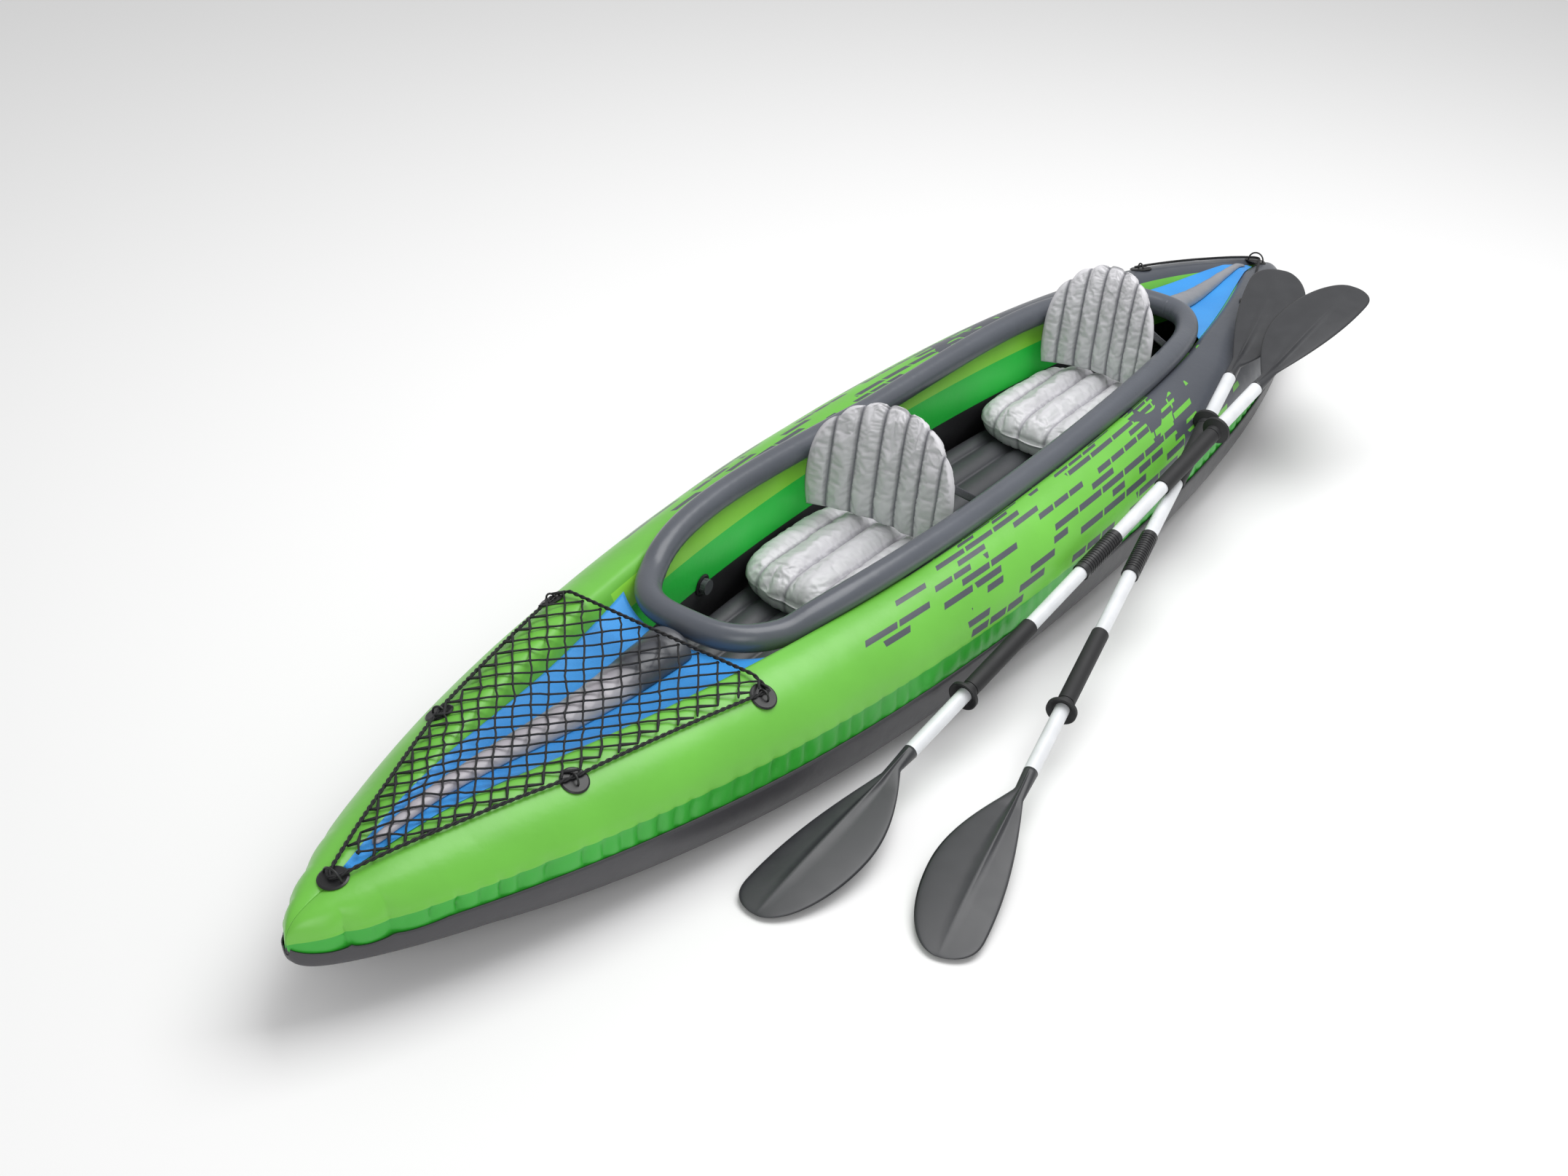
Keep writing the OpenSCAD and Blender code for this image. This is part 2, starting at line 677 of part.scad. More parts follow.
// Seat cushions: inflated pads with lengthwise channels, a welded edge and a flat underside
seat_steps = 12;
seat_cols = 20;
seat_seam = 0.36;
seat_weld = 1.5;
seat_end = 0.998;
seat_groove = 0.2;
seat_clear = 5;
seat_square = 7;
seat_corner = 0.4;
seat_front_taper = 0.12;
seat_under = 1.7;
pad_round = 3;
groove_round = 0.6;
front_x = station(front_seat_x);
rear_x = station(rear_seat_x);
function seat_z(x0) = floor_top + keel_lift(x0) + gap;
function seat_half(x) = min(seat_w / 2, crown_y(x) - side_in - seat_clear);
function channel(s, count, depth) = 1 - depth * (1 - pow(abs(sin(90 * count * (s + 1))), groove_round));
function seat_plan(e) =
    pow(1 - pow(abs(e), seat_square), seat_corner) * (e > 0 ? 1 - seat_front_taper * e * e : 1);
module seat_cushion(x0) {
    rings = [
        for (i = [0 : seat_steps])
            let (e = seat_end * sin(90 * (2 * i / seat_steps - 1)),
                 x = x0 + seat_len * (1 + e) / 2,
                 w = seat_half(x) * seat_plan(e),
                 h = pad_swell(e, seat_square),
                 low = seat_seam * seat_h - seat_weld,
                 high = (1 - seat_seam) * seat_h - seat_weld,
                 seam = seat_z(x0) + seat_seam * seat_h,
                 ss = [for (k = [0 : seat_cols]) 2 * k / seat_cols - 1],
                 swell = [for (s = ss) h * pad_swell(s, pad_round)],
                 groove = [for (s = ss) channel(s, seat_channels, seat_groove)],
                 under = [for (k = [0 : seat_cols])
                     [x, w * ss[k], seam - seat_weld - low * min(1, seat_under * swell[k])]],
                 over = [for (k = [0 : seat_cols])
                     [x, w * ss[k], seam + seat_weld + high * swell[k] * groove[k]]])
                concat(under, backwards(over))
    ];
    slab(rings);
}
module front_seat() {
    color("gainsboro") seat_cushion(front_x);
}
module rear_seat() {
    color("gainsboro") seat_cushion(rear_x);
}

// Backrests: arched pads with upright channels, hinged on the rear of their cushion
back_rows = 12;
back_cols = 28;
back_from_rear = 70;
back_over = 0.5;
arch_from = 0.34;
arch_tuck = 0.06;
arch_round = 2.3;
foot_share = 0.22;
top_square = 7;
back_top = 0.997;
back_weld = 1.5;
back_groove = 0.26;
back_at = 2 * back_from_rear / seat_len - 1;
seat_under_back = seat_h * mix(seat_seam, 1, pad_swell(back_at, seat_square));
function back_z(x0) = seat_z(x0) + seat_under_back + back_over;
function hinge_z(x0) = back_z(x0) + back_t / 2;
function arch(v) =
    v < arch_from
        ? 1 - arch_tuck * pow(1 - v / arch_from, 2)
        : pad_swell((v - arch_from) / (1 - arch_from), arch_round);
function back_mid(x0, w, y, z) =
    x0 + back_from_rear + back_wrap * pow(2 * y / w, 2) - (z - hinge_z(x0)) * tan(back_lean);
function back_fill(v) = pad_swell(1 - min(1, v / foot_share), 2) * pad_swell(v, top_square);
function back_half_t(w, y, s, v) =
    back_weld + (back_t / 2 - back_weld) * pad_swell(s, pad_round) * back_fill(v)
        * channel(2 * y / w, back_channels, back_groove);
module backrest(x0, back_w) {
    rings = [
        for (i = [0 : back_rows])
            let (v = back_top * sin(90 * i / back_rows),
                 z = back_z(x0) + back_h * v,
                 w = back_w / 2 * arch(v),
                 ss = [for (k = [0 : back_cols]) 2 * k / back_cols - 1],
                 mids = [for (s = ss) [back_mid(x0, back_w, w * s, z), w * s, z]],
                 out = [for (s = ss) [back_half_t(back_w, w * s, s, v), 0, 0]])
                concat(mids + out, backwards(mids - out))
    ];
    slab(rings);
}
module front_backrest() {
    color("silver") backrest(front_x, abeam(front_back_w));
}
module rear_backrest() {
    color("silver") backrest(rear_x, abeam(rear_back_w));
}

// Backrest straps: webbing from each backrest's side to an anchor patch on the side wall behind it
strap_t = 1.6;
strap_rise = 0.52;
strap_in = 30;
anchor_back = 100;
anchor_z = 205;
anchor_d = 44;
anchor_t = 2;
anchor_post_d = 12;
anchor_post_h = 5;
module strap_anchor() {
    cylinder(d = anchor_d, h = anchor_t);
    cylinder(d = anchor_post_d, h = anchor_post_h);
}
module strap_anchors() {
    color("black")
        for (x0 = [front_x, rear_x], side = [0, 1]) mirror([0, side, 0])
            on_wall(x0 - anchor_back, anchor_z) strap_anchor();
}
strap_off = 3.6;
function strap_top(x0, w) =
    let (z = back_z(x0) + back_h * strap_rise, y = w / 2 * arch(strap_rise) - strap_in)
    [back_mid(x0, w, y, z) - back_half_t(w, y, y / (y + strap_in), strap_rise) - strap_off, y, z];
module strap(x0, w) {
    hull() {
        translate(strap_top(x0, w)) cube([strap_t, strap_t, strap_w], center = true);
        on_wall(x0 - anchor_back, anchor_z)
            translate([0, 0, anchor_post_h + gap + strap_t / 2])
                cube([strap_w, anchor_post_d, strap_t], center = true);
    }
}
module front_port_strap() {
    color("gray") strap(front_x, abeam(front_back_w));
}
module front_starboard_strap() {
    color("gray") mirror([0, 1, 0]) strap(front_x, abeam(front_back_w));
}
module rear_port_strap() {
    color("gray") strap(rear_x, abeam(rear_back_w));
}
module rear_starboard_strap() {
    color("gray") mirror([0, 1, 0]) strap(rear_x, abeam(rear_back_w));
}

// Paddle along its own X axis: lower half towards -X, upper half towards +X
shaft_r = shaft_d / 2;
shaft_end = paddle_len / 2 - blade_len;
grip_from = 270;
drip_len = 26;
drip_wall = 2.5;
run_fit = 0.08;
ferrule_wall = 1.8;
ferrule_len = 130;
half_gap = 1;
blade_rings = 13;
blade_cols = 6;
blade_skin = 3;
blade_ridge = 9;
blade_spoon = 10;
blade_full_peak = 0.8;
blade_full_end = 3;
blade_lean_peak = 0.66;
blade_lean_end = 1.6;
blade_rise = 0.75;
blade_tip = 0.996;
blade_half_t = 0.4;
neck_blend = 5;
ridge_wide = 4;
edge_thin = 0.5;
ring_clear = 2;
ring_neck = 0.45;
ring_cup = 0.7;
ring_flare = 0.72;
ring_lip = 2;
rib_pitch = 8;
rib_margin = 12;
rib_deep = 1;
rib_wide = 3;
module bar(x0, x1, d) {
    translate([x0, 0, 0]) rotate([0, 90, 0]) cylinder(d = d, h = x1 - x0);
}
module shaft_half() {
    difference() {
        bar(half_gap, shaft_end, shaft_d);
        bar(half_gap - cut_over, shaft_end + cut_over, shaft_d - 2 * shaft_wall);
    }
}
module grip() {
    difference() {
        bar(grip_from, grip_from + grip_len, grip_d);
        bar(grip_from - cut_over, grip_from + grip_len + cut_over, shaft_d + 2 * run_fit);
    }
}
module drip_ring() {
    bore = shaft_r + gap;
    neck = bore + drip_wall;
    rim = drip_d / 2;
    translate([grip_from + grip_len + ring_clear, 0, 0])
        rotate([0, 90, 0])
            rotate_extrude()
                polygon([[bore, 0], [neck, 0], [neck, drip_len * ring_neck], [rim, drip_len * ring_flare],
                         [rim, drip_len], [rim - ring_lip, drip_len], [neck, drip_len * ring_cup],
                         [bore, drip_len * ring_cup]]);
}
module coupling() {
    difference() {
        bar(-coupling_len / 2, coupling_len / 2, coupling_d);
        bar(-coupling_len / 2 - cut_over, coupling_len / 2 + cut_over, shaft_d + 2 * run_fit);
        for (x = [-coupling_len / 2 + rib_margin : rib_pitch : coupling_len / 2 - rib_margin])
            translate([x, 0, 0])
                rotate([0, 90, 0])
                    rotate_extrude()
                        translate([coupling_d / 2 - rib_deep, 0]) square([2 * rib_deep, rib_wide]);
    }
}
module ferrule() {
    d = shaft_d - 2 * shaft_wall - 2 * run_fit;
    difference() {
        bar(-ferrule_len / 2, ferrule_len / 2, d);
        bar(-ferrule_len / 2 - cut_over, ferrule_len / 2 + cut_over, d - 2 * ferrule_wall);
    }
}

// Blade: a spoon from a round neck to a broad asymmetric face with a ridge down its middle
function blade_half(e, peak, end) =
    let (rise = pow(sin(90 * min(1, e / peak)), blade_rise),
         fall = pad_swell(max(0, e - peak) / (1 - peak), end))
    max(shaft_r * (1 - e), blade_w / 2 * rise * fall);
function blade_t(e, s) =
    let (round_neck = shaft_r * pad_swell(s, 2),
         flat = blade_skin / 2 + blade_ridge * (1 - e) * pow(max(0, 1 - abs(s) * ridge_wide), 2))
    max(flat, mix(round_neck, flat, clamp(e * neck_blend))) * (1 - pow(abs(s), 12) * edge_thin);
module blade() {
    rings = [
        for (i = [0 : blade_rings])
            let (e = blade_tip * sin(90 * i / blade_rings),
                 x = shaft_end + blade_len * e,
                 full = blade_half(e, blade_full_peak, blade_full_end),
                 lean = blade_half(e, blade_lean_peak, blade_lean_end),
                 ss = [for (k = [0 : blade_cols]) -cos(180 * k / blade_cols)],
                 face = [for (s = ss)
                     [x, s * (s > 0 ? full : lean), blade_spoon * e * (1 - s * s) * sin(180 * e)]],
                 deep = [for (s = ss) [0, 0, blade_half_t + blade_t(e, s)]])
                concat(face - deep, backwards(face + deep))
    ];
    slab(rings);
}
module lower() {
    mirror([1, 0, 0]) children();
}

// How the paddles lean: each has its lower blade on the ground, the stern paddle rests on the
// port chamber's shoulder, and the bow paddle lies across the stern paddle
tip_lift = 9;
stern_mid = [station(-209), hull_beam / 2 + 84];
stern_heading = 12.92;
bow_mid = [station(-129), hull_beam / 2 + 29];
bow_heading = 0.44;
half_run = paddle_len * 0.494;
function plan_end(mid, heading, run) = mid + run * [cos(heading), sin(heading)];
function on_ground(p) = [p.x, p.y, tip_lift];
stern_tip = on_ground(plan_end(stern_mid, stern_heading, half_run));
stern_far = plan_end(stern_mid, stern_heading, -half_run);
bow_tip = on_ground(plan_end(bow_mid, bow_heading, half_run));
bow_far = plan_end(bow_mid, bow_heading, -half_run);
lean_gap = -1.6;
lean_low = 150;
lean_high = 600;
lean_from = 0.3;
drip_slide = 20;
lean_samples = 60;
lean_passes = 16;
function paddle_r(s) =
    let (d = abs(s - paddle_len / 2), ring = grip_from + grip_len)
    d < coupling_len / 2 ? coupling_d / 2
        : d > grip_from && d < ring ? grip_d / 2
        : d > ring && d < ring + drip_slide + drip_len ? drip_d / 2 : shaft_r;
function off_side(p) =
    let (d = [p.y - crown_y(p.x), p.z - side_zc(p.x)], k = norm([d.x / side_a(p.x), d.y / side_b(p.x)]))
    norm(d) * (1 - 1 / k);
function hull_room(a, dir) = min([
    for (i = [0 : lean_samples])
        let (s = mix(lean_from, 1, i / lean_samples) * paddle_len) off_side(a + dir * s) - paddle_r(s)
]);
function aim(a, far, z) = let (d = [far.x, far.y, z] - a) d / norm(d);
function lean_z(a, far, low, high, n) =
    let (z = (low + high) / 2)
    n == 0 ? high
        : hull_room(a, aim(a, far, z)) < lean_gap
            ? lean_z(a, far, z, high, n - 1)
            : lean_z(a, far, low, z, n - 1);
stern_dir = aim(stern_tip, stern_far, lean_z(stern_tip, stern_far, lean_low, lean_high, lean_passes));
function line_apart(a, u, b, v) = let (n = cross(u, v)) (a - b) * n / norm(n);
function cross_z(low, high, n) =
    let (z = (low + high) / 2, room = line_apart(bow_tip, aim(bow_tip, bow_far, z), stern_tip, stern_dir))
    n == 0 ? high : room < grip_d + gap ? cross_z(z, high, n - 1) : cross_z(low, z, n - 1);
bow_dir = aim(bow_tip, bow_far, cross_z(lean_low, lean_high, lean_passes));
module lean(tip, dir) {
    translate(tip + dir * paddle_len / 2) rotate([0, -asin(dir.z), atan2(dir.y, dir.x)]) children();
}
module bow_lean() {
    lean(bow_tip, bow_dir) children();
}
module stern_lean() {
    lean(stern_tip, stern_dir) children();
}
module bow_paddle_lower_shaft() {
    color("whitesmoke") bow_lean() lower() shaft_half();
}
module bow_paddle_upper_shaft() {
    color("whitesmoke") bow_lean() shaft_half();
}
module bow_paddle_lower_blade() {
    color("darkslategray") bow_lean() lower() blade();
}
module bow_paddle_upper_blade() {
    color("darkslategray") bow_lean() blade();
}
module bow_paddle_lower_grip() {
    color("black") bow_lean() lower() grip();
}
module bow_paddle_upper_grip() {
    color("black") bow_lean() grip();
}
module bow_paddle_lower_drip_ring() {
    color("black") bow_lean() lower() drip_ring();
}
module bow_paddle_upper_drip_ring() {
    color("black") bow_lean() drip_ring();
}
module bow_paddle_coupling() {
    color("black") bow_lean() coupling();
}
module bow_paddle_ferrule() {
    color("silver") bow_lean() ferrule();
}
module stern_paddle_lower_shaft() {
    color("whitesmoke") stern_lean() lower() shaft_half();
}
module stern_paddle_upper_shaft() {
    color("whitesmoke") stern_lean() shaft_half();
}
module stern_paddle_lower_blade() {
    color("darkslategray") stern_lean() lower() blade();
}
module stern_paddle_upper_blade() {
    color("darkslategray") stern_lean() blade();
}
module stern_paddle_lower_grip() {
    color("black") stern_lean() lower() grip();
}
module stern_paddle_upper_grip() {
    color("black") stern_lean() grip();
}
module stern_paddle_lower_drip_ring() {
    color("black") stern_lean() lower() drip_ring();
}
module stern_paddle_upper_drip_ring() {
    color("black") stern_lean() drip_ring();
}
module stern_paddle_coupling() {
    color("black") stern_lean() coupling();
}
module stern_paddle_ferrule() {
    color("silver") stern_lean() ferrule();
}

bottom_skin();
port_chamber();
starboard_chamber();
floor_chamber();
coaming();
bow_deck_sheet();
stern_deck_sheet();
bow_rib();
stern_rib();
cargo_net();
net_border_cord();
net_patches();
stern_grab_line();
stern_patches();
port_valve();
starboard_valve();
floor_valve();
port_valve_cap();
starboard_valve_cap();
floor_valve_cap();
front_seat();
rear_seat();
front_backrest();
rear_backrest();
strap_anchors();
front_port_strap();
front_starboard_strap();
rear_port_strap();
rear_starboard_strap();
bow_paddle_lower_shaft();
bow_paddle_upper_shaft();
bow_paddle_lower_blade();
bow_paddle_upper_blade();
bow_paddle_lower_grip();
bow_paddle_upper_grip();
bow_paddle_lower_drip_ring();
bow_paddle_upper_drip_ring();
bow_paddle_coupling();
bow_paddle_ferrule();
stern_paddle_lower_shaft();
stern_paddle_upper_shaft();
stern_paddle_lower_blade();
stern_paddle_upper_blade();
stern_paddle_lower_grip();
stern_paddle_upper_grip();
stern_paddle_lower_drip_ring();
stern_paddle_upper_drip_ring();
stern_paddle_coupling();
stern_paddle_ferrule();
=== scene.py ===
# Inflatable two-seat kayak with two paddles leaning on its port side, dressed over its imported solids.
# Metres throughout: +X to the bow, +Y to port, +Z up, the keel's flat at the origin.
import json
import math

import bpy
from mathutils import Matrix, Vector, noise


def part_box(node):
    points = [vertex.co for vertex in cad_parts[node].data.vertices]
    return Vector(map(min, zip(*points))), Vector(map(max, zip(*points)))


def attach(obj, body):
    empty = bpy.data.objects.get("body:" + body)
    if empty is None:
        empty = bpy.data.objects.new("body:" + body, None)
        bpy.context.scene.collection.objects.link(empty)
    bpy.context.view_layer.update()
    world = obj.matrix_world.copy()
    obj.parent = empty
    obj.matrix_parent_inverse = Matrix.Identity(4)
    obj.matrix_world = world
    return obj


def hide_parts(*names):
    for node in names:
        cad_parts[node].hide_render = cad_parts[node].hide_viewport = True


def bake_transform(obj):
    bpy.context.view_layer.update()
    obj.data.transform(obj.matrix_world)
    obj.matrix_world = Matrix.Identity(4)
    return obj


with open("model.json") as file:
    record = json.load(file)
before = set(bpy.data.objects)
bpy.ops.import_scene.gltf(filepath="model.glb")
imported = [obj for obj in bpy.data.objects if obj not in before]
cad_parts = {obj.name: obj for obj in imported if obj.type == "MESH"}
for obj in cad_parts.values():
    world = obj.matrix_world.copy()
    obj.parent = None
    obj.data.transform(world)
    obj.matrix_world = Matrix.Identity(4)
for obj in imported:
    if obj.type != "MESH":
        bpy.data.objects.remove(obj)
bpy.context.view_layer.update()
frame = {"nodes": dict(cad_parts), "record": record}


# Camera: it looks down on the port bow from about eye height, slightly rolled.
# The angles, distance and lens were worked out from the hull's outline in the photograph.
photo_w = 2153
focal_px = 3341.6
look_azimuth = math.radians(124.173)
look_height = math.radians(32.07)
look_roll = math.radians(3.344)
look_at = Vector((0.193, -0.144, 0.043))
look_from = 5.107
flat_reach = math.cos(look_height)
behind = Vector((math.sin(look_azimuth) * flat_reach,
                 -math.cos(look_azimuth) * flat_reach,
                 math.sin(look_height)))
level = (-behind).cross(Vector((0, 0, 1))).normalized()
upright = level.cross(-behind)
right = level * math.cos(look_roll) + upright * math.sin(look_roll)
top = upright * math.cos(look_roll) - level * math.sin(look_roll)
bpy.ops.object.select_all(action="DESELECT")
bpy.ops.object.camera_add()
camera = bpy.context.object
camera_turn = Matrix((right, top, behind)).transposed().to_4x4()
camera.matrix_world = Matrix.Translation(look_at + behind * look_from) @ camera_turn
camera.data.sensor_width = 36
camera.data.lens = focal_px / photo_w * camera.data.sensor_width
camera.data.clip_end = 200
bpy.context.scene.camera = camera
bpy.context.scene.view_settings.view_transform = "Standard"


# Floor and light: a pale studio sweep under one broad overhead light with a softer fill.
# The floor is matt board, which keeps the boat's shadow without a reflection.
def linear(text):
    parts = [int(text[i:i + 2], 16) / 255 for i in (1, 3, 5)]
    return [c / 12.92 if c <= 0.04045 else ((c + 0.055) / 1.055) ** 2.4 for c in parts] + [1]


def wire(tree, kind, settings=None, **inputs):
    made = tree.nodes.new(kind)
    for key, value in (settings or {}).items():
        setattr(made, key, value)
    for key, value in inputs.items():
        socket = made.inputs[int(key[1:])] if key[1:].isdigit() else made.inputs[key.replace("_", " ")]
        if isinstance(value, bpy.types.Node):
            value = value.outputs[0]
        if isinstance(value, bpy.types.NodeSocket):
            tree.links.new(value, socket)
        else:
            socket.default_value = value
    return made


def finish_of(name):
    made = bpy.data.materials.new(name)
    made.use_nodes = True
    return made, made.node_tree, made.node_tree.nodes["Principled BSDF"]


bpy.ops.mesh.primitive_plane_add(size=60)
floor = bpy.context.object
floor.name = "studio_floor"
board, tree, shader = finish_of("matt_board")
shader.inputs["Base Color"].default_value = linear("#F6F6F6")
shader.inputs["Roughness"].default_value = 0.9
shader.inputs["Specular IOR Level"].default_value = 0.1
floor.data.materials.append(board)
for name, place, aim, size, watts in (
    ("overhead", (-0.9, 0.6, 4.0), (0, 0, 0), 3.6, 150),
    ("bow_fill", (4.2, 2.6, 2.4), (0.6, 0.2, 0.1), 2.4, 46),
):
    bpy.ops.object.light_add(type="AREA", location=place)
    lamp = bpy.context.object
    lamp.name = name
    lamp.data.size = size
    lamp.data.energy = watts
    lamp.rotation_euler = (Vector(aim) - Vector(place)).to_track_quat("-Z", "Y").to_euler()
world = bpy.data.worlds.new("studio_air")
world.use_nodes = True
air = world.node_tree.nodes["Background"]
air.inputs["Color"].default_value = linear("#FFFFFF")
air.inputs["Strength"].default_value = 0.5
bpy.context.scene.world = world


# Side tubes: two air chambers of coated PVC film, welded along a side seam where the film puckers.
# Each is an egg-shaped tube that fines to the bow and the stern and meets its pair on the centre line.
side_low, side_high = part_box("port_chamber")
tip_share = 0.9985
half_len = side_high.x / tip_share
half_width = 0.38
tube_half = (side_high.z - side_low.z) / 2
tube_out = 0.128
tube_in = 0.05
tube_foot = side_low.z
keel_flat = 0.3
bow_rise = 0.126
stern_rise = 0.035
seam_angle = 13.0
seam_spread = 2.2
seam_lip = 0.0016
fold_angle = 3.0
fold_spread = 10
fold_depth = 0.016
fold_pitch = 0.043
scallop_angle = fold_angle + 8
scallop_spread = 30
scallop_depth = 0.022
scallop_pitch = 0.07
film_slack = 0.0012


def share(x):
    return min(abs(x) / half_len, 1.0)


def half_beam(x):
    fine, full = (1.844, 0.682) if x > 0 else (2.309, 0.614)
    return half_width * (1 - share(x) ** fine) ** full


def keel_lift(x):
    rise = bow_rise if x > 0 else stern_rise
    return rise * max(0.0, (share(x) - keel_flat) / (1 - keel_flat)) ** 2


def tube_full(x):
    drop = 0.67 if x > 0 else 0.5
    return tube_half * (1 - drop * share(x) ** 4)


def tube_round(x):
    return tube_full(x) * (1 - share(x) ** 80) ** 0.4


def tube_reach(x):
    return min(tube_out, 0.75 * half_beam(x))


def crown(x):
    return half_beam(x) - tube_reach(x)


def tube_mid(x):
    return tube_foot + keel_lift(x) + tube_full(x)


def crown_top(x):
    return tube_mid(x) + tube_round(x)


def on_tube(x, angle, grow=0.0):
    turn = math.radians(angle)
    reach = tube_reach(x) if math.cos(turn) > 0 else tube_in
    return Vector((x, crown(x) + (reach + grow) * math.cos(turn),
                   tube_mid(x) + (tube_round(x) + grow) * math.sin(turn)))


def tube_top(x, y):
    off = (y - crown(x)) / (tube_reach(x) if y > crown(x) else tube_in)
    return tube_mid(x) + tube_round(x) * math.sqrt(max(0.0, 1 - off * off))


def bell(value, width):
    return math.exp(-(value / width) ** 2)


def pucker(along, pitch, seed):
    wander = noise.noise(Vector((along * 7, seed, 0.3)))
    pillow = abs(math.sin(math.pi * (along / pitch + 0.9 * wander)))
    return (1 - pillow ** 0.55) * (0.75 + 0.45 * noise.noise(Vector((along * 23, seed, 8.1))))


def nose_share(x):
    return min(1.0, max(0.0, (share(x) - 0.86) / 0.1))


def inside_out(piece):
    middle = sum((Vector(corner) for corner in piece.bound_box), Vector()) / 8
    return sum((face.center - middle).dot(face.normal) * face.area for face in piece.data.polygons) < 0


def shaped_sheet(name, along, around, place, shut=True):
    bpy.ops.object.select_all(action="DESELECT")
    bpy.ops.mesh.primitive_grid_add(x_subdivisions=along, y_subdivisions=around, size=2)
    piece = bpy.context.object
    piece.name = name
    for point in piece.data.vertices:
        point.co = place((point.co.x + 1) / 2, (point.co.y + 1) / 2)
    bpy.ops.object.mode_set(mode="EDIT")
    bpy.ops.mesh.select_all(action="SELECT")
    bpy.ops.mesh.remove_doubles(threshold=0.00002)
    bpy.ops.mesh.dissolve_degenerate(threshold=0.00002)
    if shut:
        bpy.ops.mesh.fill_holes(sides=0)
    else:
        bpy.ops.mesh.normals_make_consistent(inside=False)
    bpy.ops.object.mode_set(mode="OBJECT")
    if shut and inside_out(piece):
        piece.data.flip_normals()
    bpy.ops.object.shade_smooth()
    return piece


def station(u):
    return half_len * 0.9995 * math.sin(math.pi / 2 * (2 * u - 1))


def tube_wall(side):
    def place(u, v):
        x = station(u)
        angle = 360 * v - 180
        turn = math.radians(angle)
        nose = nose_share(x)
        tight = 0.35 + 0.65 * min(1.0, share(x) / 0.5) ** 2
        fine = fold_depth * tight * (1 - nose) * pucker(x, fold_pitch, side)
        fine *= bell(angle - fold_angle, fold_spread)
        scallop = scallop_depth * nose * pucker(x, scallop_pitch, side + 4)
        scallop *= bell(angle - scallop_angle, scallop_spread)
        dent = min(fine + scallop, 0.3 * min(tube_round(x), tube_reach(x)))
        lip = seam_lip * bell(angle - seam_angle, seam_spread)
        wander = Vector((x * 4, 1.4 * math.cos(turn), side + 1.4 * math.sin(turn)))
        soft = film_slack * noise.noise(wander)
        point = on_tube(x, angle, (lip + soft) * min(1.0, tube_reach(x) / 0.03) - dent)
        point.y = side * max(point.y, 0.0002)
        return point
    return place


grains_per_metre = 520.0
ripples_per_metre = 16.0
clouds_per_metre = 5.0
film_ior = 1.53


# Calendered PVC has a broad soft gloss and slow ripples where it is slack.
# Its grain is under a millimetre, drawn at about 2 mm so that it shows.
def pvc_film(name, paint, gloss=0.34):
    made, tree, shader = finish_of(name)
    spot = wire(tree, "ShaderNodeTexCoord").outputs["Object"]
    grain = wire(tree, "ShaderNodeTexNoise", Vector=spot, Scale=grains_per_metre, Detail=2.0)
    ripple = wire(tree, "ShaderNodeTexNoise", Vector=spot, Scale=ripples_per_metre, Detail=3.0,
                  Roughness=0.55)
    cloud = wire(tree, "ShaderNodeTexNoise", Vector=spot, Scale=clouds_per_metre, Detail=4.0)
    rough = wire(tree, "ShaderNodeMapRange", Value=ripple.outputs["Fac"], i3=gloss - 0.07, i4=gloss + 0.09)
    fine = wire(tree, "ShaderNodeBump", Height=grain.outputs["Fac"], Strength=0.12, Distance=0.0006)
    slack = wire(tree, "ShaderNodeBump", Height=ripple.outputs["Fac"], Strength=0.35, Distance=0.004,
                 Normal=fine.outputs["Normal"])
    colour = paint(tree) if callable(paint) else linear(paint)[:3]
    shade = wire(tree, "ShaderNodeMapRange", Value=cloud.outputs["Fac"], i1=0.3, i2=0.7, i3=0.92, i4=1.06)
    tinted = wire(tree, "ShaderNodeVectorMath", {"operation": "SCALE"}, Vector=colour,
                  Scale=shade.outputs["Result"])
    tree.links.new(tinted.outputs["Vector"], shader.inputs["Base Color"])
    tree.links.new(rough.outputs["Result"], shader.inputs["Roughness"])
    tree.links.new(slack.outputs["Normal"], shader.inputs["Normal"])
    shader.inputs["IOR"].default_value = film_ior
    return made


bar_from = 0.62
bar_to = -0.98
bar_most = 0.74
bar_growth = 0.62
bar_turn = -0.27
turn_spread = 0.7
turn_patches = 14.0
bar_length = 0.1
bar_height = 0.0168
bar_gap = 0.0031
bar_slant = 0.9
bar_layout = {"offset": 0.37, "offset_frequency": 2, "squash": 0.62, "squash_frequency": 3}
tube_girth = 0.75
foot_line = 0.4
seam_line = 0.535
cloth_line = 0.826
wall_line = 0.905
cockpit_from = -1.12
cockpit_to = 0.73
above = {"operation": "GREATER_THAN"}
below = {"operation": "LESS_THAN"}
times = {"operation": "MULTIPLY"}
times_plus = {"operation": "MULTIPLY_ADD"}
larger = {"operation": "MAXIMUM"}
two_tone = {"data_type": "RGBA"}


